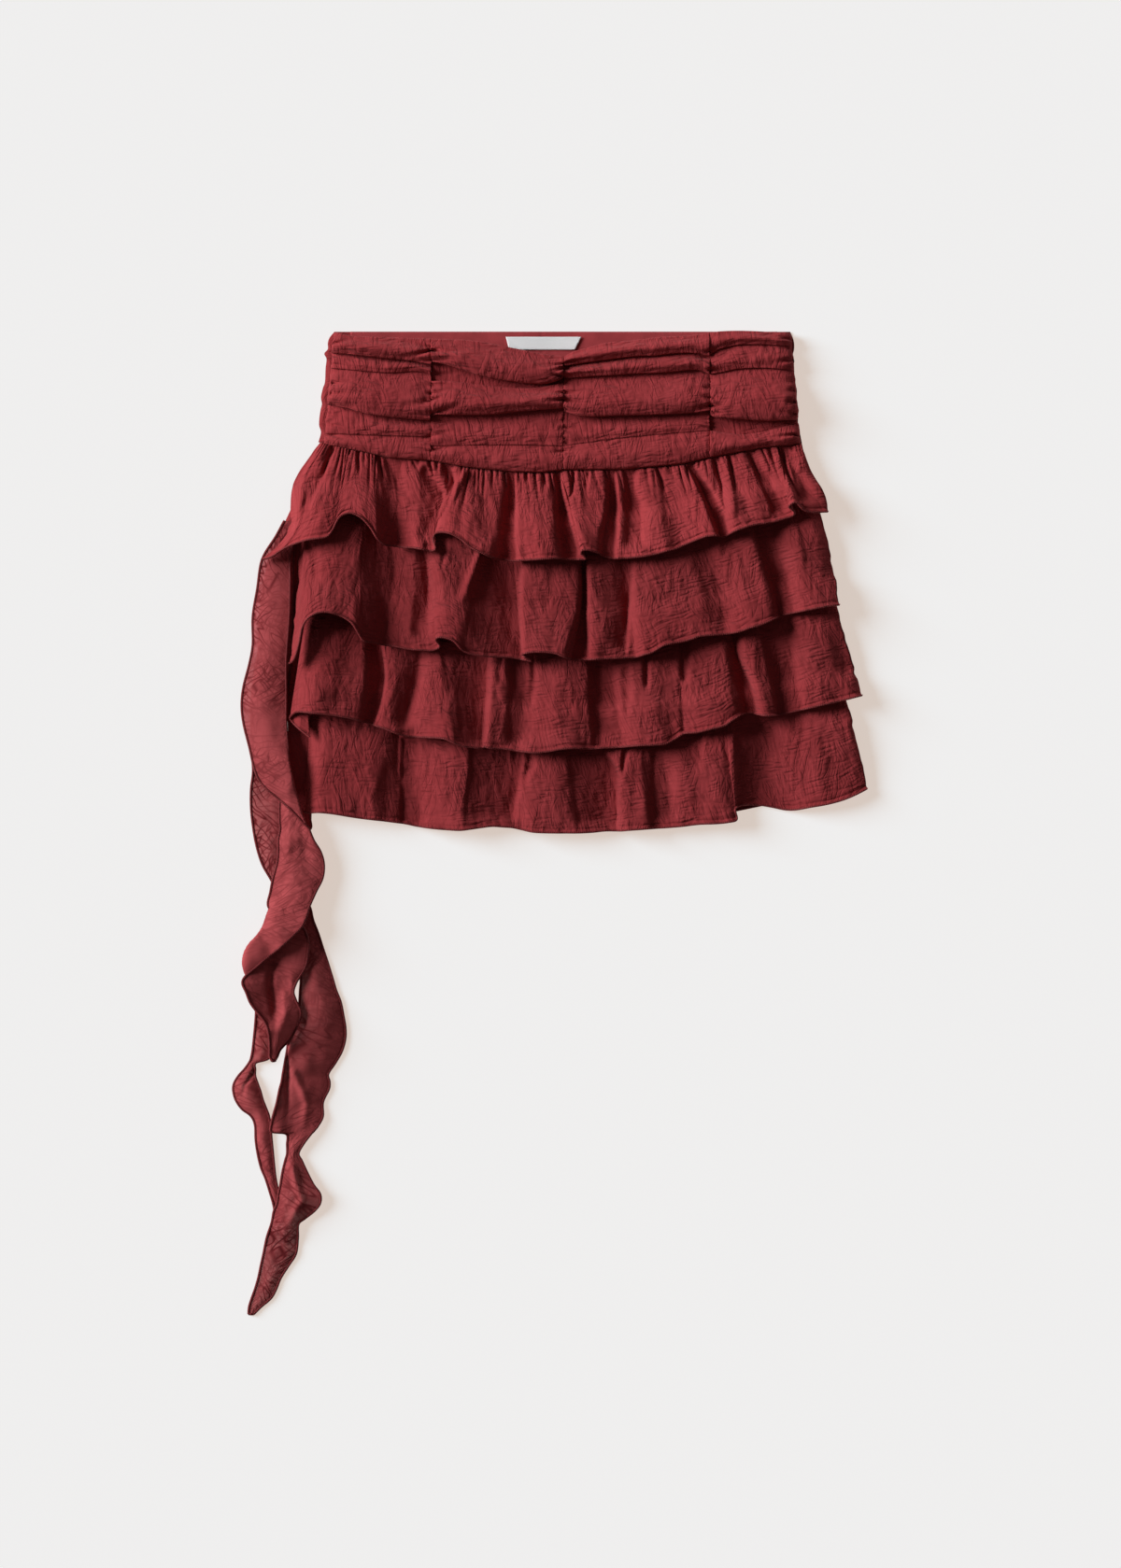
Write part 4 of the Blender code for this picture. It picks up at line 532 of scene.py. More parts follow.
LONG_TIE = [
    (43, -212, -204.5, 0.5), (30.5, -218.5, -205, 0.5), (15, -225, -205.5, 0.5),
    (-19, -231, -206, 1), (-54.5, -233, -207.5, 1), (-90, -238, -211, 1),
    (-125.5, -238, -213, 1), (-144, -237, -214, 2), (-157.5, -238.5, -215, 3),
    (-172, -238.5, -215, 4), (-186, -237, -215, 4), (-200, -234.5, -215, 4),
    (-214.5, -230, -214.5, 3), (-227, -223, -211, 1), (-237, -218.5, -201, 1),
    (-247, -214.5, -194, 1), (-257, -211, -191.5, 1.5), (-267.5, -207.5, -187.5, 2),
    (-278.5, -204, -184, 3), (-289, -201.5, -180.5, 4), (-302, -200.5, -176.5, 5),
    (-310.5, -201, -174, 6), (-319.5, -201.5, -170.5, 7), (-329.5, -202.5, -168.5, 7),
    (-338.5, -205, -167, 7), (-347, -209.5, -167, 7), (-356.5, -211, -169.5, 6),
    (-365.5, -212.5, -174.5, 6), (-374, -214, -180, 5), (-380, -215, -179, 5),
    (-385.5, -216.5, -179.5, 5), (-395.5, -218.5, -184, 5), (-406, -221.5, -184, 5),
    (-413, -223, -187.5, 5), (-417.5, -222.5, -191, 4), (-419.5, -211.5, -193, 4),
    (-427.5, -211, -199, 4), (-434.5, -211, -202.5, 3), (-440, -212.5, -200, 4),
    (-448.5, -214.5, -196, 5), (-458, -216, -191, 6), (-465, -217.5, -186, 6),
    (-472, -218.5, -186, 6), (-478, -221, -190.5, 5), (-483.5, -222, -197.5, 4),
    (-488, -223, -202.5, 4), (-498.5, -226.5, -203, 4), (-510.5, -229, -204.5, 4),
    (-519.5, -231, -210, 3), (-529, -233, -216, 3), (-537.5, -235.5, -219.5, 2),
    (-544.5, -238, -223.5, 1.5), (-551, -240, -231, 1), (-556.5, -240.5, -236.5, 0.5),
]

# The short tie turns over twice: Y, X of its upper layer's free edge, of the fold, and of its lower
# layer's free edge, the height between the two layers, and the rise of the middle.
SHORT_TIE = [
    (46, -213, -205, -205, 0, 1), (34, -219.5, -205, -205, 0, 1),
    (16.5, -230, -208.5, -208.5, 0, 2), (-5, -233.5, -208.5, -208.5, 0, 4),
    (-26.5, -237, -209, -209, 0, 5), (-47.5, -237, -210.5, -210.5, 0, 4),
    (-62, -239.5, -211.5, -211.5, 0, 4), (-79.5, -244, -211.5, -211.5, 0, 5),
    (-93.5, -245.5, -211.5, -211.5, 0, 6), (-108, -244, -211.5, -211.5, 0, 5),
    (-125.5, -239.5, -210, -210, 1, 4), (-136.5, -237, -208.5, -209.5, 3, 4),
    (-143.5, -235, -207, -211, 3.6, 3), (-150.5, -232, -205.5, -213, 3.6, 2),
    (-157.5, -226, -204, -215, 3.6, 2), (-164.5, -217.5, -202, -216, 3.6, 1),
    (-171, -210, -200.5, -216.5, 3.6, 1), (-178, -203, -198.5, -216.5, 3.6, 1),
    (-183, -198.5, -196.5, -216.5, 3.4, 1), (-187.5, -194, -194, -216, 2, 2),
    (-196.5, -190.5, -190.5, -217.5, 0, 4), (-205, -185.5, -185.5, -217.5, 0, 5),
    (-214.5, -183, -183, -218.5, 0, 6), (-225, -184, -184, -221.5, 0, 6),
    (-235.5, -189, -189, -223.5, 0, 5), (-247, -194, -225, -225, 0, 4),
    (-254, -196, -227, -214, 3, 3), (-261.5, -199.5, -229.5, -200, 6, 3),
    (-268.5, -206, -234, -196, 7.5, 2), (-275, -213, -240, -194.5, 8, 2),
    (-282, -221.5, -243.5, -195, 8, 1), (-289, -230, -244.5, -196, 6, 1),
    (-294.5, -236.5, -243.5, -198, 3, 1), (-299.5, -242, -242, -201, 0, 1),
    (-304.5, -244, -244, -204, 0, 1), (-311.5, -241, -241, -206, 0, 1),
    (-319, -238, -238, -203.5, 0, 1), (-326, -233, -233, -200.5, 0, 1),
    (-333, -227.5, -227.5, -201.5, 0, 1), (-340, -224.5, -224.5, -204.5, 0, 1),
    (-347, -223.5, -223.5, -208.5, 0, 1), (-354.5, -223.5, -223.5, -215.5, 0, 1),
    (-360, -223.5, -223.5, -218, 0, 1), (-363.5, -222, -222, -220, 0, 0.5),
]

# How high the ties' left and right edges stand on what they lie on: Y, left and right
TIE_EDGES = {
    "tie_narrow": [(-262, 0.5, 0.5), (-370, 0.5, 1.5), (-390, 1, 3), (-420, 0.5, 1), (-486, 0.3, 0.3)],
    "tie_long": [
        (43, 0.5, 0.5), (-100, 0.5, 0.5), (-150, 0.5, 2), (-215, 0.5, 2), (-260, 3, 1), (-300, 5, 1),
        (-325, 8, 1), (-365, 9, 1), (-395, 6, 1), (-420, 2, 4), (-440, 1, 3), (-465, 1, 6),
        (-500, 2, 1), (-556, 0.3, 0.3),
    ],
    "tie_short": [
        (46, 0.5, 0.5), (8, 0.5, 1), (-15, 1, 7), (-45, 1, 7), (-70, 1, 4), (-115, 1, 3.5),
        (-150, 1, 8), (-190, 1, 10), (-225, 1, 8),
        (-255, 1, 5), (-270, 5, 2), (-290, 12, 0.5), (-305, 18, 0.5), (-340, 17, 0.5), (-363, 4, 0.5),
    ],
}

# Creases of the ties: depth (a ridge is below 0), width, and their course
TIE_CREASES = {
    "tie_narrow": [(2.0, 1.5, [(-236, -372), (-243, -383), (-246, -395)])],
    "tie_long": [
        (4.0, 1.5, [(-211, -352), (-210.5, -380), (-210.5, -412)]),
        (-2.5, 2.5, [(-206, -372), (-196, -395), (-199, -418)]),
        (-3.0, 3.0, [(-207, -445), (-200, -470), (-214, -495)]),
    ],
    "tie_short": [
        (4.0, 3.0, [(-222, -290), (-223, -305), (-220, -325), (-218.5, -345)]),
        (-1.5, 2.5, [(-213, -312), (-212, -330), (-213, -345)]),
        (0.8, 3.0, [(-206, -205), (-212, -225), (-217, -245)]),
    ],
}

# How much shows through the ties' single layer: Y, at the left and at the right edge
TIE_VEIL = {
    "tie_narrow": [(-262, 0.25, 0.15), (-365, 0.25, 0.12), (-395, 0.12, 0.06), (-486, 0.06, 0.06)],
    "tie_long": [
        (43, 0.1, 0.1), (-120, 0.15, 0.15), (-150, 0.34, 0.1), (-215, 0.34, 0.05), (-260, 0.06, 0.0),
        (-290, 0.15, 0.0), (-345, 0.15, 0.0), (-370, 0.08, 0.0), (-420, 0.04, 0.04), (-450, 0.12, 0.1),
        (-500, 0.28, 0.2), (-556, 0.28, 0.2),
    ],
    "tie_short": [
        (46, 0.26, 0.16), (-80, 0.25, 0.1), (-150, 0.12, 0.06), (-200, 0.05, 0.02), (-363, 0.03, 0.0),
    ],
}


# ---------------------------------------------------------------- shapes


def smooth(t):
    """Eases from 0 to 1 as t does."""
    t = np.clip(t, 0.0, 1.0)
    return t * t * (3.0 - 2.0 * t)


def between(start, end, share):
    """The value at a share of the way from start to end."""
    return start + (end - start) * share


def through(rows, steps):
    """A smooth curve through the rows of a table, with steps points from each row to the next."""
    rows = np.array(rows, dtype=float)
    ends = np.vstack([2 * rows[0] - rows[1], rows, 2 * rows[-1] - rows[-2]])
    t = (np.arange(steps) / steps)[:, None]
    points = []
    for before, start, end, after in zip(ends, ends[1:], ends[2:], ends[3:]):
        curve = 2 * start + (end - before) * t + (2 * before - 5 * start + 4 * end - after) * t**2
        points.append(0.5 * (curve + (3 * start - before - 3 * end + after) * t**3))
    return np.vstack([*points, rows[-1:]])


def sides_at(y, rows):
    """Left and right at each Y, from rows of Y, left and right that run down."""
    rows = np.array(rows)[::-1]
    return np.interp(y, rows[:, 0], rows[:, 1]), np.interp(y, rows[:, 0], rows[:, 2])


def read_grid(grid, i, j, s, t):
    """Values of a grid at cells i and j and at shares s and t of the way to the next ones."""
    low = grid[i, j] * (1 - s) + grid[i + 1, j] * s
    high = grid[i, j + 1] * (1 - s) + grid[i + 1, j + 1] * s
    return low * (1 - t) + high * t


def unevenness(u, v, seed):
    """Soft random waves between -1 and 1, a unit or so apart."""
    table = np.pad(np.random.default_rng(seed).uniform(-1, 1, (64, 64)), (0, 1), mode="wrap")
    i, j = np.floor(u).astype(int), np.floor(v).astype(int)
    return read_grid(table, i % 64, j % 64, smooth(u - i), smooth(v - j))


def crease_depth(x, y, creases, from_one_end=True):
    """How deep each point lies in creases, each strongest at its start or, if not, at its middle."""
    depth = np.zeros_like(x)
    for deep, width, course in creases:
        course = np.array(course, dtype=float)
        runs = np.diff(course, axis=0)
        lengths = np.hypot(*runs.T)
        starts = np.concatenate([[0], np.cumsum(lengths)])
        nearest = np.full_like(x, 1e9)
        along = np.zeros_like(x)
        for (ax, ay), (dx, dy), length, start in zip(course, runs, lengths, starts):
            t = np.clip(((x - ax) * dx + (y - ay) * dy) / length**2, 0, 1)
            away = np.hypot(x - ax - t * dx, y - ay - t * dy)
            along = np.where(away < nearest, (start + t * length) / starts[-1], along)
            nearest = np.minimum(away, nearest)
        fade = 1 - along**2 if from_one_end else np.sin(np.pi * np.clip(along, 0.08, 0.92)) ** 0.6
        depth += deep * np.exp(-((nearest / width) ** 2)) * fade
    return depth


class Pile:
    """The height of all that has been laid so far, on a square grid over the floor."""

    def __init__(self):
        self.low = np.array(FIELD_LOW)
        size = np.ceil((np.array(FIELD_HIGH) - self.low) / CELL).astype(int)
        self.height = np.zeros(size)
        self.draped = self.height

    def copy(self):
        other = Pile()
        other.height, other.draped = self.height.copy(), self.draped
        return other

    def lay(self, middle):
        """Adds a wall's upper face, half a wall above a grid of points along its middle."""
        points = middle
        for axis in (0, 1):
            gaps = np.linalg.norm(np.diff(points[:, :, :2], axis=axis), axis=2)
            cuts = int(np.ceil(gaps.max() / (CELL / 2)))
            last = points.shape[axis] - 1
            places = np.linspace(0, last, last * cuts + 1)
            first = np.minimum(places.astype(int), last - 1)
            share = places - first
            share = share[:, None, None] if axis == 0 else share[None, :, None]
            points = points.take(first, axis) * (1 - share) + points.take(first + 1, axis) * share
        cells = ((points[:, :, :2] - self.low) / CELL).astype(int).reshape(-1, 2)
        np.maximum.at(self.height, (cells[:, 0], cells[:, 1]), points[:, :, 2].ravel() + SOLID_WALL / 2)
        self.drape()

    def drape(self):
        """Spreads the heights outwards and softens them, as cloth bridges an edge."""
        spread = self.height
        for axis in (0, 1):
            near = [np.roll(spread, k, axis) for k in range(-SPREAD_CELLS, SPREAD_CELLS + 1)]
            spread = np.max(near, axis=0)
        for axis in (0, 1):
            near = [np.roll(spread, k, axis) for k in range(-SOFTEN_CELLS, SOFTEN_CELLS + 1)]
            spread = np.mean(near, axis=0)
        self.draped = spread

    def rest(self, x, y):
        """Height of the middle of a wall that lies on the pile at each X and Y."""
        s, t = ((value - low) / CELL - 0.5 for value, low in zip((x, y), self.low))
        i, j = np.floor(s).astype(int), np.floor(t).astype(int)
        under = read_grid(self.draped, i, j, s - i, t - j)
        return np.where(under > 0, under + GAP * smooth(under / GAP), 0.0) + SOLID_WALL / 2


def merged(one, other):
    """A pile with what lies on either of two."""
    both = one.copy()
    both.height = np.maximum(one.height, other.height)
    both.drape()
    return both


# ---------------------------------------------------------------- meshes


def cloth_places(middle):
    """Each point's place on the flat cloth in metres: how far along it, and how far down it."""
    along = np.linalg.norm(np.diff(middle, axis=0), axis=2).mean(axis=1)
    down = np.linalg.norm(np.diff(middle, axis=1), axis=2).mean(axis=0)
    u = np.concatenate([[0], np.cumsum(along)])[:, None]
    v = np.concatenate([[0], np.cumsum(down)])[None, :]
    return np.stack([u + 0 * v, v + 0 * u], axis=2) * MM


def quads(index):
    """The four-sided faces over a grid of point numbers."""
    return np.stack([index[:-1, :-1], index[:-1, 1:], index[1:, 1:], index[1:, :-1]], axis=2).reshape(-1, 4)


def new_object(name, data):
    """An object with this data, in the scene."""
    obj = bpy.data.objects.new(name, data)
    bpy.context.scene.collection.objects.link(obj)
    return obj


def make_cloth(name, upper, lower, material):
    """One closed sheet between two grids of points, with the cloth's own places as its UV map."""
    rows, columns = upper.shape[:2]
    index = np.arange(rows * columns).reshape(rows, columns)
    under = index + rows * columns
    rim = np.concatenate([index[:, 0], index[-1, 1:], index[-2::-1, -1], index[0, -2:0:-1]])
    after = np.roll(rim, -1)
    walls = np.stack([rim, after, after + rows * columns, rim + rows * columns], axis=1)
    faces = np.vstack([quads(index), quads(under)[:, ::-1], walls])
    points = np.concatenate([upper.reshape(-1, 3), lower.reshape(-1, 3)]) * MM
    mesh = bpy.data.meshes.new(name)
    mesh.vertices.add(len(points))
    mesh.vertices.foreach_set("co", points.ravel())
    mesh.loops.add(faces.size)
    mesh.loops.foreach_set("vertex_index", faces.ravel())
    mesh.polygons.add(len(faces))
    mesh.polygons.foreach_set("loop_start", np.arange(0, faces.size, 4))
    mesh.update(calc_edges=True)
    places = np.tile(cloth_places((upper + lower) / 2).reshape(-1, 2), (2, 1))
    uv = mesh.uv_layers.new(name="cloth")
    uv.data.foreach_set("uv", places[faces.ravel()].ravel())
    mesh.materials.append(material)
    mesh.shade_smooth()
    mesh.validate()
    return new_object(name, mesh)


def sheet_faces(middle, thickness=SHEET):
    """The upper and lower faces of a thin sheet round a grid of points, square to it."""
    normal = np.cross(np.gradient(middle, axis=1), np.gradient(middle, axis=0))
    normal /= np.linalg.norm(normal, axis=2, keepdims=True)
    return middle + normal * thickness / 2, middle - normal * thickness / 2


def dress(obj, node):
    """Puts a finished sheet in place of its solid."""
    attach(obj, "root")
    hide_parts(node)


# ---------------------------------------------------------------- materials


def node_group(name, inputs, outputs, kind="ShaderNodeTree"):
    """An empty group with named inputs and outputs of the kinds given, with its board and both its ends."""
    group = bpy.data.node_groups.new(name, kind)
    for way, sockets in (("INPUT", inputs), ("OUTPUT", outputs)):
        for label, sort in sockets.items():
            group.interface.new_socket(label, in_out=way, socket_type="NodeSocket" + sort)
    return group, Board(group), group.nodes.new("NodeGroupInput").outputs, group.nodes.new("NodeGroupOutput")


class Board:
    """Short ways to put down and join nodes."""

    def __init__(self, tree):
        self.tree = tree

    def feed(self, made, feeds):
        """Gives a node's sockets, by name or number, what they get: another socket, a value or nothing."""
        for label, value in feeds.items():
            if isinstance(value, bpy.types.NodeSocket):
                self.tree.links.new(value, made.inputs[label])
            elif value is not None:
                made.inputs[label].default_value = value

    def add(self, kind, feeds, **settings):
        made = self.tree.nodes.new(kind)
        for key, value in settings.items():
            setattr(made, key, value)
        self.feed(made, feeds)
        return made

    def math(self, operation, a, b=None):
        return self.add("ShaderNodeMath", {0: a, 1: b}, operation=operation).outputs[0]

    def plus(self, a, b):
        return self.math("ADD", a, b)

    def minus(self, a, b):
        return self.math("SUBTRACT", a, b)

    def times(self, a, b):
        return self.math("MULTIPLY", a, b)

    def vector(self, operation, a, b):
        return self.add("ShaderNodeVectorMath", {0: a, 1: b}, operation=operation).outputs[0]

    def join(self, x, y, z):
        return self.add("ShaderNodeCombineXYZ", {0: x, 1: y, 2: z}).outputs[0]

    def group(self, tree, **feeds):
        return self.add("ShaderNodeGroup", feeds, node_tree=tree).outputs

    def cloth_place(self):
        return self.add("ShaderNodeUVMap", {}, uv_map="cloth").outputs[0]

    def object_place(self):
        return self.add("ShaderNodeTexCoord", {}).outputs["Object"]

    def stretched(self, vector, scale, shift):
        feeds = {"Vector": vector, "Scale": scale, "Location": shift}
        return self.add("ShaderNodeMapping", feeds).outputs[0]

    def turned(self, vector, turn):
        feeds = {"Vector": vector, "Angle": turn}
        return self.add("ShaderNodeVectorRotate", feeds, rotation_type="Z_AXIS").outputs[0]

    def noise(self, vector, scale, detail, roughness=0.5, output=0):
        feeds = {"Vector": vector, "Scale": scale, "Detail": detail, "Roughness": roughness}
        return self.add("ShaderNodeTexNoise", feeds).outputs[output]

    def wobbled(self, vector, scale, reach):
        """Places moved about at random by up to half of reach."""
        random = self.noise(vector, scale, 1.0, output="Color")
        random = self.vector("SUBTRACT", random, (0.5, 0.5, 0.5))
        return self.vector("ADD", vector, self.vector("MULTIPLY", random, (reach, reach, 0.0)))

    def range(self, value, low, high, kind="SMOOTHSTEP"):
        feeds = {"Value": value, "From Min": low, "From Max": high}
        return self.add("ShaderNodeMapRange", feeds, interpolation_type=kind).outputs[0]

    def mix(self, share, a, b):
        feeds = {"Factor": share, "A": (*a, 1) if isinstance(a, tuple) else a, "B": (*b, 1)}
        return self.add("ShaderNodeMix", feeds, data_type="RGBA").outputs["Result"]

    def mottled(self, place, colour, scale, detail, dark):
        """A colour with darker patches."""
        patch = self.range(self.noise(place, scale, detail), 0.3, 0.7)
        return self.mix(patch, colour, tuple(channel * dark for channel in colour))

    def bump(self, height, distance, strength=1.0, over=None):
        feeds = {"Strength": strength, "Distance": distance, "Height": height, "Normal": over}
        return self.add("ShaderNodeBump", feeds).outputs["Normal"]


def crinkle_group(name, furrows):
    """The crinkle set into the gauze: short furrows or fine lines in patches, with soft swells between."""
    outputs = {"Relief": "Float", "Crease": "Float", "Patch": "Float"}
    group, board, entry, result = node_group(name, {"Place": "Vector"}, outputs)
    place = entry["Place"]
    cells = board.wobbled(place, *CRINKLE_WOBBLE)
    relief, crease = None, None
    for turn, width, height, shift, amount, patchy, thin in furrows:
        scale = (1 / width, 1 / height, 1.0)
        wave = board.noise(board.stretched(board.turned(cells, turn), scale, shift), 1.0, 0.0)
        here = board.noise(board.stretched(place, (1, 1, 1), shift), patchy, 1.0)
        here = board.times(board.range(here, *CRINKLE_PATCH), amount)
        middle = board.minus(wave, 0.5)
        if thin:
            line = board.range(board.math("ABSOLUTE", middle), thin, 0.0)
        else:
            line = board.range(wave, *FURROW)
        swell, pressed = board.times(middle, here), board.times(line, here)
        relief = swell if relief is None else board.plus(relief, swell)
        crease = pressed if crease is None else board.math("MAXIMUM", crease, pressed)
    lumps, share = LUMPS
    relief = board.plus(relief, board.times(board.noise(place, lumps, 1.0), share))
    relief = board.minus(relief, board.times(crease, FURROW_SINK))
    board.feed(result, {"Relief": relief, "Crease": crease, "Patch": board.noise(place, TONES, 3.0, 0.6)})
    return group


def weave_group():
    """A plain weave: threads over and under each other."""
    inputs, outputs = {"Place": "Vector", "Thread": "Float"}, {"Relief": "Float", "Hole": "Float"}
    group, board, entry, result = node_group("plain weave", inputs, outputs)
    parts = board.add("ShaderNodeSeparateXYZ", {0: board.wobbled(entry["Place"], *WEAVE_WOBBLE)})
    turns = []
    for part in parts.outputs[:2]:
        angle = board.times(board.math("DIVIDE", part, entry["Thread"]), np.pi)
        turns.append(board.math("ABSOLUTE", board.math("SINE", angle)))
    relief = board.math("MAXIMUM", *turns)
    board.feed(result, {"Relief": relief, "Hole": board.minus(1.0, relief)})
    return group


def new_material(name):
    material = bpy.data.materials.new(name)
    material.use_nodes = True
    shader = material.node_tree.nodes["Principled BSDF"]
    return material, Board(material.node_tree), shader


def gauze(name, crinkle, weave, colours, depth=CRINKLE_DEPTH, pressed=0.2, sheer=False):
    """Crinkled gauze, its crease lines darkened with painted shade. If it is sheer, the floor shows through
    its open parts as its veil attribute says.
    """
    material, board, shader = new_material(name)
    place = board.cloth_place()
    folds = board.group(crinkle, Place=place)
    threads = board.group(weave, Place=place, Thread=GAUZE_THREAD)
    base, dark, pale = colours
    if sheer:
        veil = board.add("ShaderNodeAttribute", {}, attribute_name="veil").outputs["Fac"]
        # Painted crease shade grows stronger where more of the floor shows through
        pressed = board.plus(board.times(veil, 2.2), pressed)
        shows = board.times(veil, board.minus(1.0, folds["Crease"]))
        board.feed(shader, {"Alpha": board.minus(1.0, shows)})
    cloth = board.mix(board.range(folds["Patch"], 0.3, 0.7, "LINEAR"), base, pale)
    # Painted shade: the crease lines are darkened towards the dark colour, pressed being how strongly
    crease_shaded = board.mix(board.times(folds["Crease"], pressed), cloth, dark)
    crinkled = board.bump(folds["Relief"], depth)
    woven = board.bump(threads["Relief"], THREAD_DEPTH, 0.6, crinkled)
    board.feed(shader, {"Base Color": crease_shaded, "Normal": woven, "Roughness": 0.92})
    board.feed(shader, {"Specular IOR Level": 0.12, "Sheen Weight": 0.06, "Sheen Roughness": 0.5})
    board.feed(shader, {"Sheen Tint": (1.0, 0.55, 0.52, 1)})
    return material


def plain_cloth(name, weave, colour):
    """Smooth cloth with a plain weave, as on the facing."""
    material, board, shader = new_material(name)
    place = board.cloth_place()
    threads = board.group(weave, Place=place, Thread=FACING_THREAD)
    normal = board.bump(threads["Relief"], FACING_THREAD_DEPTH)
    board.feed(shader, {"Base Color": board.mottled(place, colour, 60.0, 3.0, 0.8), "Normal": normal})
    board.feed(shader, {"Roughness": 0.9, "Specular IOR Level": 0.12, "Sheen Weight": 0.05})
    return material


def thread_material(name, colour):
    """Sewing thread, twisted, with a slight shine."""
    material, board, shader = new_material(name)
    flecked = board.mottled(board.object_place(), colour, 700.0, 2.0, 0.6)
    board.feed(shader, {"Base Color": flecked, "Roughness": 0.7, "Specular IOR Level": 0.2})
    return material


def label_material(weave):
    """Bare white satin tape."""
    material, board, shader = new_material("label tape")
    threads = board.group(weave, Place=board.cloth_place(), Thread=LABEL_THREAD)
    colour = board.mix(threads["Hole"], LABEL_WHITE, LABEL_SHADE)
    normal = board.bump(threads["Relief"], THREAD_DEPTH)
    board.feed(shader, {"Base Color": colour, "Normal": normal, "Roughness": 0.5})
    return material


def floor_material():
    material, board, shader = new_material("pale floor")
    patch = board.noise(board.object_place(), 3.0, 2.0)
    colour = board.mix(patch, FLOOR, tuple(channel * 0.995 for channel in FLOOR))
    board.feed(shader, {"Base Color": colour, "Roughness": 0.95, "Specular IOR Level": 0.1})
    board.feed(shader, {"Emission Color": (*FLOOR_GLOW, 1), "Emission Strength": 1.0})
    return material


# ---------------------------------------------------------------- pieces


def seam_height(tier, x):
    """Y of a ruffle's seam at each X."""
    stations = np.array(SEAMS[tier])
    return np.interp(x, stations[:, 0], stations[:, 1])


def gathers(u, down, seed, depth):
    """Small uneven creases that run down from a seam. u is how far along it, down how far below it."""
    rng = np.random.default_rng(seed)
    sink = np.zeros(np.broadcast(u, down).shape)
    place = 0.0
    while place < u.max():
        place += GATHER_SPACING * rng.uniform(*GATHER_SPACINGS)
        deep, reach = depth * rng.uniform(*GATHER_DEPTHS), rng.uniform(*GATHER_REACHES)
        width, lean = rng.uniform(*GATHER_WIDTHS), rng.uniform(*GATHER_LEANS)
        across = (u - place - lean * down) / (width * (1 + down / GATHER_SPREAD))
        crease = deep * np.exp(-(across**2)) * np.exp(-((down / reach) ** 1.5))
        sink += np.where(np.abs(u - place) < GATHER_SIDE, crease, 0.0)
    return sink


def valley_depth(x, y, valleys):
    """How deep each point of a ruffle lies in the valleys between its folds."""
    sink = np.zeros_like(x)
    for depth, fall, rise, sides in valleys:
        sides = through(sides, 6)
        left, right = sides_at(y, sides)
        width = np.maximum(right - left, LEAST_VALLEY)
        if fall < ROLL_OVER:
            wall = 1 - WIDE_VALLEY_LOSS * smooth((width - WIDE_VALLEY[0]) / WIDE_VALLEY[1])
            across = np.clip((x - left) / width, 0, 1)
            inside = wall + (1 - wall) * (1 - (1 - across) ** 1.5)
            inside = inside * np.exp(-((np.maximum(left - x, 0) / fall) ** 1.6))
        else:
            inside = np.clip(1 - (right - x) / (width + fall), 0, 1) ** 1.8
        outside = np.exp(-((np.maximum(x - right, 0) / rise) ** 1.6))
        past_end = np.maximum(y - sides[0, 0], sides[-1, 0] - y)
        fade = smooth(1 - past_end / VALLEY_RUN_OUT)
        sink = np.maximum(sink, VALLEY_SCALE * depth * inside * outside * fade)
    return sink


def front_ruffle(tier, pile):
    """The middle of a front ruffle's sheet: lines from seam to hem, waving more towards the hem."""
    stations = through([(*row, 0)[:5] for row in FOLDS[tier]], FOLD_STEPS)
    top_x, hem_x, hem_y, lift, bend = (column[:, None] for column in stations.T)
    top_y = seam_height(tier, top_x)
    t = np.linspace(0, 1, RUFFLE_ROWS + 1)
    share = (0.35 * t**2 + 0.65 * t) * (1 - HEM_BAND / (top_y - hem_y).mean())
    share = np.concatenate([share, np.linspace(share[-1], 1, HEM_ROWS + 1)[1:]])[None, :]
    bow = -np.sin(2 * np.pi * share) * (0.3 + share) if tier == BENDS_TWICE else np.sin(np.pi * share)
    x = between(top_x, hem_x, share) + bend * bow
    y = between(top_y, hem_y, share)
    rise = np.maximum(lift, LOWEST_LIFT) * LIFT_SCALE * share ** HANG[tier]
    steps = np.hypot(np.diff(hem_x, axis=0), np.diff(hem_y, axis=0))
    u = np.concatenate([[[0.0]], np.cumsum(steps, axis=0)])
    down = (top_y - hem_y) * share
    seeds = {use: seed + tier for use, seed in RUFFLE_SEEDS.items()}

    relief = valley_depth(x, y, VALLEYS[tier])
    relief = np.maximum(relief, gathers(u, down, seeds["gathers"], GATHER_DEPTH[tier]))
    relief = relief + CREASE_SCALE * crease_depth(x, y, CREASES.get(tier, []))
    height, along, below = SWELLS
    swells = unevenness(u / along, down / below, seeds["swells"])
    relief = relief - height * swells * smooth(share * 1.5)
    height, along, below = RIPPLES
    relief = relief - height * unevenness(u / along, down / below, seeds["ripples"])
    place, width = HEM_GROOVE_PLACE
    relief = relief + HEM_GROOVE * np.exp(-(((down[:, -1:] - down - place) / width) ** 2))

    body = between(BODY_AT_SEAM[tier], BODY, smooth(share / 0.4))
    pressed = BODY - BODY_AT_HEM + PRESSED_RIGHT * smooth((x - PRESSED_FROM[0]) / PRESSED_FROM[1])
    body = (body - pressed * smooth((share - 0.5) / 0.5)) * (1 - np.exp(-down / SHOULDER))
    for inset, (edge, reach) in ((u, LEFT_EDGE_BODY), (u[-1] - u, RIGHT_EDGE_BODY)):
        body = body * between(edge, 1, smooth(inset / reach))
    inset = np.minimum(u, u[-1] - u)
    x = x + SIDE_BUMP * unevenness(y / 5.0, 0.5, seeds["sides"]) * np.exp(-inset / 5.0)
    return np.dstack([x, y, pile.rest(x, y) + np.maximum(rise + body - relief, -0.1)])


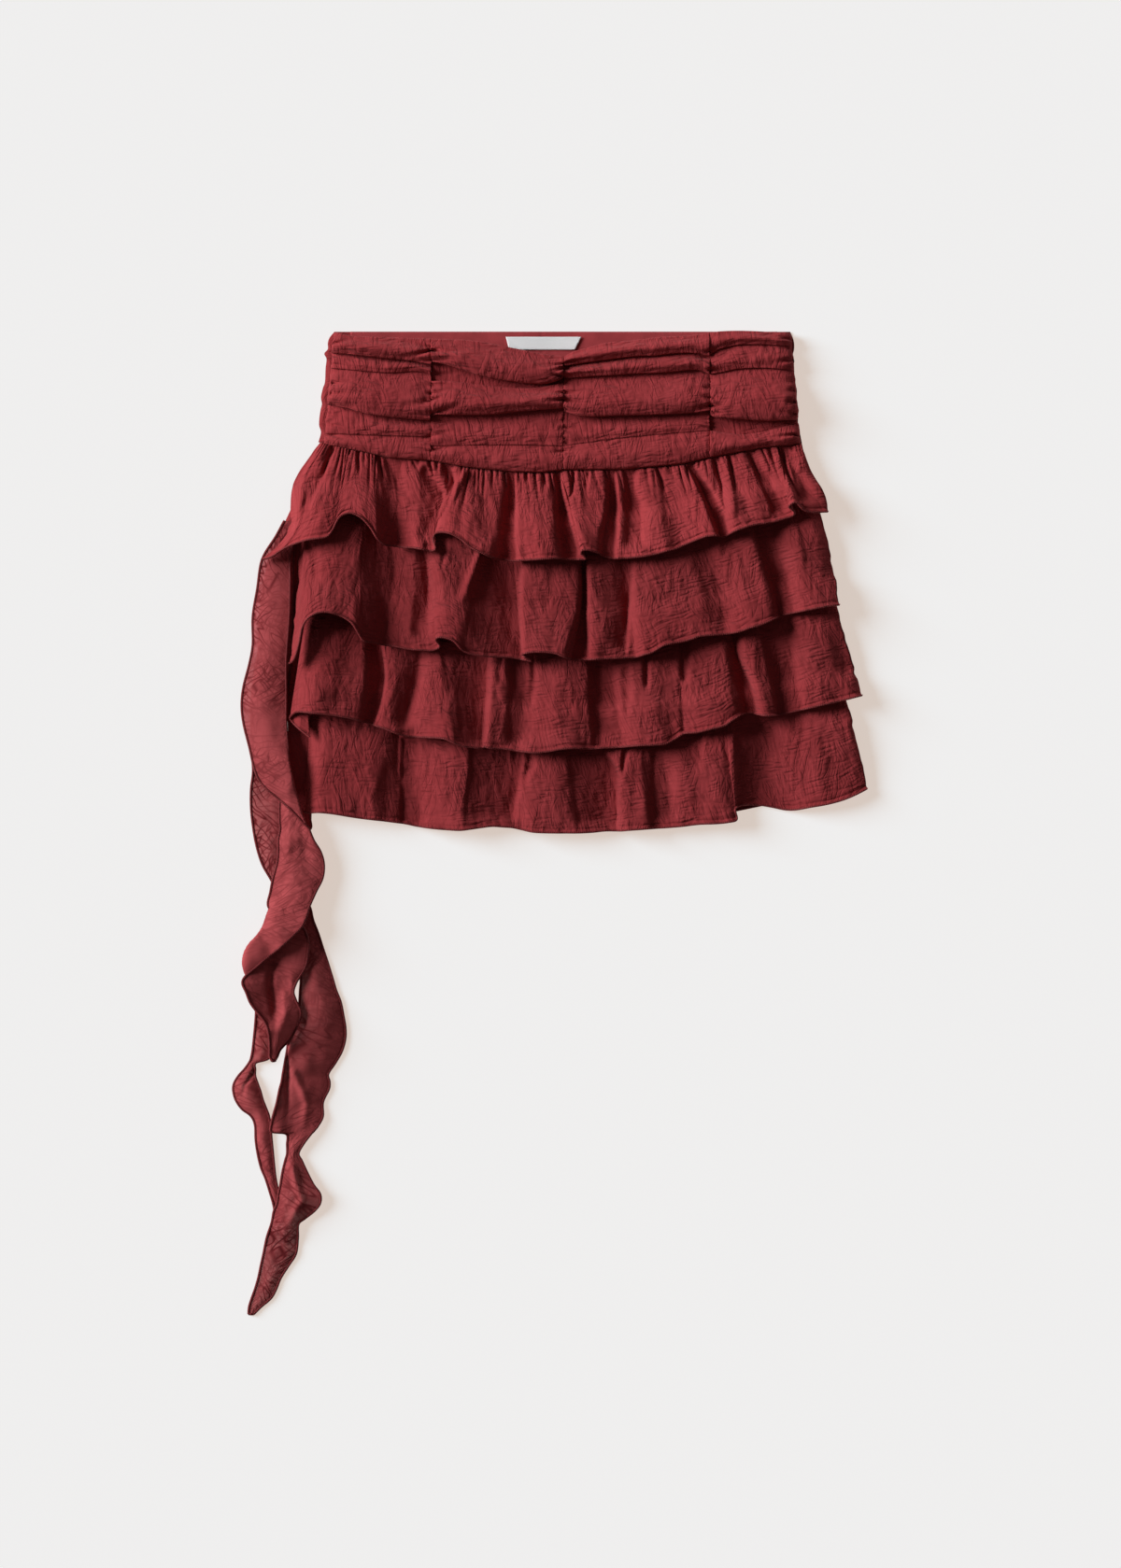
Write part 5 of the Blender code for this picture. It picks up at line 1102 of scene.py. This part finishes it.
def back_ruffle(tier, pile):
    """The middle of a back ruffle's sheet, flat but where it passes over the hem of the tier above."""
    top_x, hem_x, hem_y = (column[:, None] for column in through(BACK_HEMS[tier], 16).T)
    share = np.linspace(0, 1, 33)[None, :]
    x = between(top_x, hem_x, share)
    y = between(seam_height(tier, top_x) - GAP, hem_y, share)
    return np.dstack([x, y, pile.rest(x, y)])


def base_panel(layer, side_layer):
    """The middle of a base panel's sheet, which comes to side_layer at its side edges."""
    top_x = np.linspace(*BASE_TOP, 61)[:, None]
    low_x = np.interp(top_x, BASE_TOP, BASE_LOW)
    share = np.linspace(0, 1, 25)[None, :]
    x = between(top_x, low_x, share)
    y = between(seam_height(1, top_x) - SEAM_GAP, seam_height(4, low_x) + SEAM_GAP, share)
    inset = np.minimum(x - x[0], x[-1] - x)
    return np.dstack([x, y, between(side_layer, layer, smooth(inset / BASE_SIDE_TURN))])


def yoke_inside(x, left, right):
    """Height of the yoke's inner face, which rounds down to the side seams at left and right."""
    inset = np.minimum((x - left) / YOKE_SIDE_TURNS[0], (right - x) / YOKE_SIDE_TURNS[1])
    return between(YOKE_SIDE_INSIDE, YOKE_INSIDE, np.sqrt(1 - (1 - np.clip(inset, 0, 1)) ** 2))


def puff(top, start, foot, end):
    """Y and relief down a puff, from start just under one crease to end just above the next."""
    t = np.linspace(0, 1, PUFF_ROWS + 1)[:, None]
    swell = PUFF * (start + end) * np.sin(np.pi * t**1.35)
    return between(top, foot, t), between(start, end, smooth(t) ** 0.9) + swell


def tuck(y, above, below):
    """Y and relief round a crease: the higher side hangs a little over the lower one."""
    high, low = np.maximum(above, below), np.minimum(above, below)
    over = TUCK * np.sign(above - below) * smooth((high - low) / 2.0)
    rows = np.array(TUCK_ROWS[::-1] if np.mean(above - below) < 0 else TUCK_ROWS)[:, :, None]
    return y - over * rows[:, 0], between(low, high, rows[:, 1])


def yoke_panel(name):
    """The outer and inner faces of a ruched panel: puffs and creases over a plain inside."""
    number = list(YOKE_PANELS).index(name)
    left, right = YOKE_SEAMS[number : number + 2]
    share = np.linspace(0, 1, YOKE_COLUMNS + 1)
    guide = between(np.mean(left), np.mean(right), share)
    courses = [(through(course, 8), above, below) for course, above, below in YOKE_PANELS[name]]
    creases = []
    for course, above, below in [*courses, (np.array(SEAMS[1]), LOWER_SEAM_RELIEF, 0.0)]:
        y = np.interp(guide, course[:, 0], course[:, 1])
        creases.append((y, np.full_like(y, above), np.full_like(y, below)))
    rounding = np.linspace(0, 1, 5)[:, None] * np.pi / 2
    top, _, below = creases[0]
    rows = [(top - EDGE_ROUND * (1 - np.cos(rounding[:-1])), below * np.sin(rounding[:-1]))]
    last = len(creases) - 2
    for number, ((upper, _, start), (lower, end, after)) in enumerate(zip(creases, creases[1:])):
        head = upper - (EDGE_ROUND if number == 0 else CREASE_ROUND)
        foot = lower + (EDGE_ROUND if number == last else CREASE_ROUND)
        rows.append(puff(head, start, foot, end))
        if number < last:
            rows.append(tuck(lower, end, after))
    rows.append((lower + EDGE_ROUND * (1 - np.sin(rounding[1:])), end * np.cos(rounding[1:])))
    y, relief = (np.vstack(column) for column in zip(*rows))
    down = (y[0] - y) / (y[0] - y[-1])
    left, right = between(*left, down), between(*right, down)
    x = between(left, right, share)
    edge = np.minimum(x - left, right - x)
    relief = RELIEF_SCALE * relief * between(SEAM_SHARE, 1, 1 - np.exp(-((edge / 1.5) ** 1.4)))
    relief = relief * (1 - puckers(x, y))
    x = x + 0.9 * unevenness(y / 2.5, 0.5, YOKE_SEEDS["seams"]) * np.exp(-((edge / 3.0) ** 2))
    relief = relief - crease_depth(x, y, YOKE_CREASES, from_one_end=False)
    uneven = unevenness(x / 7.0, y / 4.0, YOKE_SEEDS["puffs"]) * smooth(edge / 4.0)
    relief = relief + 0.5 * uneven * np.minimum(relief, 1.0)
    inside = yoke_inside(x, between(*YOKE_SEAMS[0], down), between(*YOKE_SEAMS[-1], down))
    outside = inside + YOKE_WALL + np.maximum(relief, -0.6)
    return [np.dstack([x, y, z]).transpose(1, 0, 2) for z in (outside, inside)]


def puckers(x, y):
    """The share of the yoke's relief that the puckers beside its upright seams take away at each point."""
    rng = np.random.default_rng(PUCKER_SEED)
    sink = np.zeros_like(x)
    for seam_x, places in PUCKERS:
        away, side = np.abs(x - seam_x), np.sign(x - seam_x)
        for place in places:
            for direction in (-1, 1):
                slope, reach = rng.uniform(*PUCKER_SLOPES), PUCKER_REACH * rng.uniform(*PUCKER_REACHES)
                deep, width = rng.uniform(*PUCKER_DEPTHS), rng.uniform(*PUCKER_WIDTHS)
                off = (y - place - slope * away) / (width * (1 + away / 14.0))
                here = np.where(side == direction, deep * np.exp(-(off**2) - away / reach), 0.0)
                sink = np.maximum(sink, here)
    return sink


def yoke_back():
    """The middle of the plain back of the yoke, down to the seam of the first ruffle."""
    rows = through(YOKE_BACK_OUTLINE, 4)
    waist = rows[0, 0]
    x = between(rows[:, 1], rows[:, 2], np.linspace(0, 1, 91)[:, None])
    y = between(waist, seam_height(1, x[:, -1:]), (waist - rows[:, 0]) / (waist - rows[-1, 0]))
    edge = np.minimum(x - x[0], x[-1] - x)
    uneven = 1 + unevenness(x / 14.0, y / 5.0, YOKE_SEEDS["back"])
    return np.dstack([x, y, BACK_LAYER + 0.35 * uneven * smooth(1 - edge / 12.0)])


def flat_patch(top, bottom, layer, columns, rows):
    """The middle of a level four-sided patch, from its top and bottom edges as Y, left and right."""
    share = np.linspace(0, 1, columns + 1)[:, None]
    down = np.linspace(0, 1, rows + 1)[None, :]
    y, left, right = (between(*ends, down) for ends in zip(top, bottom))
    x = between(left, right, share)
    return np.dstack([x, y + 0 * x, np.full_like(x, layer)])


def between_edges(x, y, edges):
    """A tie's value at each point, from its values at the left and right edges."""
    across = (x - x.min(axis=0)) / (x.max(axis=0) - x.min(axis=0))
    return between(*sides_at(y, edges), across)


def plain_tie(name, rows, pile):
    """The middle of a tie's sheet, arched between its two edges."""
    rows = through(rows, TIE_STEPS)
    share = np.linspace(0, 1, TIE_COLUMNS + 1)[:, None]
    x = between(rows[:, 1], rows[:, 2], share)
    y = rows[:, 0] + 0 * x
    arch = np.sin(np.pi * share)
    rise = TIE_ARCH * np.maximum(rows[:, 3], 0.5) * arch
    rise = rise + between_edges(x, y, TIE_EDGES[name]) - crease_depth(x, y, TIE_CREASES[name])
    rise = np.maximum(rise + 0.7 * unevenness(x / 7.0, y / 9.0, TIE_SEED) * arch, TIE_LOWEST)
    return np.dstack([x, y, pile.rest(x, y) + rise])


def turned_tie(name, rows, pile):
    """The middle of the short tie's sheet: an upper layer, a fold at one side, and a lower layer."""
    rows = np.array(rows, dtype=float)
    right, left = rows[:, 1:4].max(axis=1), rows[:, 1:4].min(axis=1)
    folded_left = rows[:, 2] < rows[:, [1, 3]].min(axis=1)
    arch = np.sin(np.pi * np.linspace(0, 1, TURNED_COLUMNS + 1))
    lines = []
    fine = through(np.column_stack([rows, right, left]), TIE_STEPS)
    for number, (y, upper_x, _, lower_x, turn, rise, right_x, left_x) in enumerate(fine):
        row = number // TIE_STEPS
        fold_x, side = (left_x, -1) if folded_left[row : row + 2].any() else (right_x, 1)
        widths = np.abs(fold_x - np.array([upper_x, lower_x]))
        before, after = np.sqrt((widths + TURN_RADIUS) ** 2 - TURN_RADIUS**2)
        s = np.linspace(-before, after, TURNED_COLUMNS + 1)
        reach = np.sqrt(s**2 + TURN_RADIUS**2)
        x = fold_x - side * (reach - TURN_RADIUS)
        z = turn / 2 - turn / 2 * s / reach + TIE_ARCH * max(rise, 0.5) * arch
        lines.append(np.stack([x, y + 0 * x, z], axis=1))
    middle = np.array(lines).transpose(1, 0, 2)
    x, y = middle[:, :, 0], middle[:, :, 1]
    lift = between_edges(x, y, TIE_EDGES[name]) - crease_depth(x, y, TIE_CREASES[name])
    lift = lift + 0.5 * (1 + unevenness(x / 7.0, y / 9.0, TURNED_SEED))
    middle[:, :, 2] += pile.rest(x, y) + np.maximum(lift, TIE_LOWEST)
    return middle


# ---------------------------------------------------------------- hems


def growing_group(name, *sizes):
    """Starts a tree that grows something along every line of a mesh. Returns its board, its inputs, the
    lines, and the function that ends it, with real geometry, shaded smooth, in one material."""
    inputs = {"Geometry": "Geometry", **dict.fromkeys(sizes, "Float"), "Material": "Material"}
    group, board, entry, result = node_group(name, inputs, {"Geometry": "Geometry"}, "GeometryNodeTree")
    lines = board.add("GeometryNodeMeshToCurve", {0: entry["Geometry"]}).outputs[0]

    def finish(geometry):
        real = board.add("GeometryNodeRealizeInstances", {0: geometry}).outputs[0]
        even = board.add("GeometryNodeSetShadeSmooth", {0: real}).outputs[0]
        coat = board.add("GeometryNodeSetMaterial", {"Geometry": even, "Material": entry["Material"]})
        board.feed(result, {0: coat.outputs[0]})
        return group

    return board, entry, lines, finish


def roll_group():
    """A narrow roll of cloth along every line of a mesh."""
    board, entry, lines, finish = growing_group("hem roll", "Radius")
    feeds = {"Resolution": 7, "Radius": entry["Radius"]}
    ring = board.add("GeometryNodeCurvePrimitiveCircle", feeds).outputs[0]
    feeds = {"Curve": lines, "Profile Curve": ring, "Fill Caps": True}
    return finish(board.add("GeometryNodeCurveToMesh", feeds).outputs[0])


def stitch_group():
    """Slanting overlock stitches over every line of a mesh."""
    board, entry, lines, finish = growing_group("overlock stitches", *STITCHES, "Height")
    feeds = {"Curve": lines, "Length": entry["Spacing"]}
    points = board.add("GeometryNodeCurveToPoints", feeds, mode="LENGTH").outputs
    bead = board.add("GeometryNodeMeshUVSphere", {"Segments": 6, "Rings": 4, "Radius": 1.0}).outputs[0]
    radius, half = entry["Radius"], board.times(entry["Length"], 0.5)
    feeds = {
        "Geometry": bead,
        "Scale": board.join(half, radius, radius),
        "Rotation": board.join(None, None, board.minus(np.pi / 2, entry["Lean"])),
        "Translation": board.join(None, None, entry["Height"]),
    }
    stitch = board.add("GeometryNodeTransform", feeds).outputs[0]
    feeds = {"Vector": points["Tangent"]}
    facing = board.add("FunctionNodeAlignRotationToVector", feeds, axis="X").outputs[0]
    feeds = {"Points": points["Points"], "Instance": stitch, "Rotation": facing}
    return finish(board.add("GeometryNodeInstanceOnPoints", feeds).outputs[0])


def grown(name, lines, group, **values):
    """The plain mesh object that a tree grows along lines of points."""
    starts = np.cumsum([0] + [len(line) for line in lines])
    edges = [(k, k + 1) for a, b in zip(starts, starts[1:]) for k in range(a, b - 1)]
    guide_mesh = bpy.data.meshes.new(name + "_line")
    guide_mesh.from_pydata((np.concatenate(lines) * MM).tolist(), edges, [])
    guide = new_object(name + "_line", guide_mesh)
    modifier = guide.modifiers.new("grow", "NODES")
    modifier.node_group = group
    for item in group.interface.items_tree:
        if item.in_out == "INPUT" and item.name in values:
            modifier[item.identifier] = values[item.name]
    graph = bpy.context.evaluated_depsgraph_get()
    mesh = bpy.data.meshes.new_from_object(guide.evaluated_get(graph), depsgraph=graph)
    bpy.data.objects.remove(guide)
    bpy.data.meshes.remove(guide_mesh)
    mesh.name = name
    return new_object(name, mesh)


def rolled_hem(name, lines, kit, radius=HEM_RADIUS, roll_in="hem", stitch_in="thread"):
    """The rolled and overlocked hem along edges of a sheet, as two pieces."""
    raised = [np.column_stack([line[:, :2], np.maximum(line[:, 2], radius)]) for line in lines]
    roll = grown(f"{name}_hem", raised, kit["roll"], Radius=radius * MM, Material=kit[roll_in])
    sizes = {**STITCHES, "Height": radius * MM}
    stitches = grown(f"{name}_stitches", raised, kit["stitches"], **sizes, Material=kit[stitch_in])
    for piece in (roll, stitches):
        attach(piece, "root")
    return [roll, stitches]


# ---------------------------------------------------------------- the skirt


def sew(kit, pile, name, middle, material, held, rests_on, edges=(), **hem):
    """Makes a sheet with its rolled hems, puts it in place of its solid and lays it on the pile."""
    cloth = make_cloth(name + "_cloth", *sheet_faces(middle), kit[material])
    hems = rolled_hem(name, edges, kit, **hem) if edges else ()
    dress(cloth, name)
    pile.lay(middle)
    return cloth


def build_back(kit, pile):
    """The pieces under the skirt: the yoke's back and the four back ruffles."""
    back = make_cloth("yoke_back_cloth", *sheet_faces(yoke_back()), kit["inner"])
    dress(back, "yoke_back")
    for tier in SEAMS:
        middle = back_ruffle(tier, pile)
        sew(kit, pile, f"ruffle_{tier}_back", middle, "inner", "gathered", "floor", [middle[:, -1]])


def build_inside(kit, pile):
    """The facing and the bare label inside the waist, and the base that carries the ruffles."""
    facing = flat_patch(FACING_TOP, FACING_BOTTOM, FACING_LAYER, 216, 30)
    seam = np.abs(facing[:, :, 0] - BACK_SEAM_X)
    for height, place, width in FACING_SEAM:
        facing[:, :, 2] += height * np.exp(-(((seam - place) / width) ** 2))
    cloth = make_cloth("back_facing_cloth", *sheet_faces(facing), kit["facing"])
    dress(cloth, "back_facing")
    label = flat_patch(LABEL_TOP, LABEL_BOTTOM, LABEL_LAYER, 56, 12)
    height, length = LABEL_WAVE
    label[:, :, 2] += height * np.sin(label[:, :, 0] / length)
    tape = make_cloth("label_tape", *sheet_faces(label, LABEL_SHEET), kit["label"])
    dress(tape, "label")
    for name, (layer, side_layer) in BASE_LAYERS.items():
        sew(kit, pile, name, base_panel(layer, side_layer), "inner", "laid", "yoke_back_cloth")


def build_ties(kit, pile):
    """The three stretches of side tie, from the lowest up. Returns the pile with them on it."""
    side = pile.copy()
    for name, middle_of, rows in (
        ("tie_narrow", plain_tie, NARROW_TIE),
        ("tie_long", plain_tie, LONG_TIE),
        ("tie_short", turned_tie, SHORT_TIE),
    ):
        middle = middle_of(name, rows, side)
        edges = [middle[0], middle[-1], middle[:, -1]]
        cloth = sew(kit, side, name, middle, "sheer", "laid", "floor", edges, **TIE_HEM)
        veil = cloth.data.attributes.new("veil", "FLOAT", "POINT")
        shares = between_edges(middle[:, :, 0], middle[:, :, 1], TIE_VEIL[name])
        veil.data.foreach_set("value", np.tile(shares.ravel(), 2))
    return side


def build_front(kit, pile, side):
    """The ruched yoke and the four front ruffles, the lowest ruffle first."""
    for name in YOKE_PANELS:
        panel = make_cloth(name + "_cloth", *yoke_panel(name), kit["gauze"])
        dress(panel, name)
    for tier in (4, 3, 2, 1):
        middle = front_ruffle(tier, merged(pile, side) if tier == 1 else pile)
        # Tiers below the first take the darker copy of the gauze, which paints shade on them
        name, material = f"ruffle_{tier}_front", "gauze" if tier == 1 else "low"
        sew(kit, pile, name, middle, material, "gathered", "base_front_cloth", [middle[:, -1]])


def make_kit():
    """Every material and growing tree that the pieces share."""
    crinkle, weave = crinkle_group("crinkle", CRINKLES), weave_group()
    tie_crinkle = crinkle_group("crinkle of the ties", TIE_CRINKLES)
    front = (BRICK, BRICK_CREASE_SHADE, BRICK_PALE)
    # A darker copy of the colours for the lower tiers: painted shade
    low = tuple(tuple(channel * LOWER_TIER_SHADE for channel in colour) for colour in front)
    return {
        "gauze": gauze("brick gauze", crinkle, weave, front),
        "low": gauze("brick gauze, lower tiers in painted shade", crinkle, weave, low),
        "inner": gauze("brick gauze, back", crinkle, weave, front, BACK_CRINKLE_DEPTH),
        "sheer": gauze(
            "brick gauze, single layer", tie_crinkle, weave, TIE_COLOURS, TIE_CRINKLE_DEPTH, 0.3, sheer=True
        ),
        "facing": plain_cloth("facing cloth", weave, FACING_COLOUR),
        "label": label_material(weave),
        "hem": thread_material("hem roll", HEM_COLOUR),
        "thread": thread_material("overlock thread", THREAD_COLOUR),
        "tie_hem": thread_material("tie hem roll", TIE_HEM_COLOUR),
        "roll": roll_group(),
        "stitches": stitch_group(),
    }


def build_stage():
    """A pale floor, soft light from the upper left, and a camera straight above."""
    floor_mesh = bpy.data.meshes.new("floor")
    half = FLOOR_SIDE / 2
    corners = [(-half, -half, 0), (half, -half, 0), (half, half, 0), (-half, half, 0)]
    floor_mesh.from_pydata(corners, [], [(0, 1, 2, 3)])
    floor_mesh.materials.append(floor_material())
    new_object("floor", floor_mesh)
    scene = bpy.context.scene
    scene.world = bpy.data.worlds.new("studio")
    scene.world.use_nodes = True
    background = scene.world.node_tree.nodes["Background"]
    background.inputs["Color"].default_value = (*FILL_COLOUR, 1)
    background.inputs["Strength"].default_value = FILL_STRENGTH
    key = bpy.data.lights.new("key", "SUN")
    key.energy, key.angle, key.color = KEY_STRENGTH, KEY_SPREAD, KEY_COLOUR
    new_object("key", key).rotation_euler = (-Vector(KEY_FROM)).to_track_quat("-Z", "Y").to_euler()
    camera_data = bpy.data.cameras.new("camera")
    camera_data.sensor_fit = "VERTICAL"
    camera_data.sensor_height = SENSOR
    camera_data.lens = SENSOR * CAMERA_HEIGHT / VIEW_HEIGHT
    camera_data.clip_end = 20.0
    scene.camera = new_object("camera", camera_data)
    scene.camera.location = (*VIEW_CENTRE, CAMERA_HEIGHT)
    scene.view_settings.view_transform = "Standard"


def main():
    build_stage()
    kit = make_kit()
    pile = Pile()
    build_back(kit, pile)
    build_inside(kit, pile)
    side = build_ties(kit, pile)
    build_front(kit, pile, side)


main()
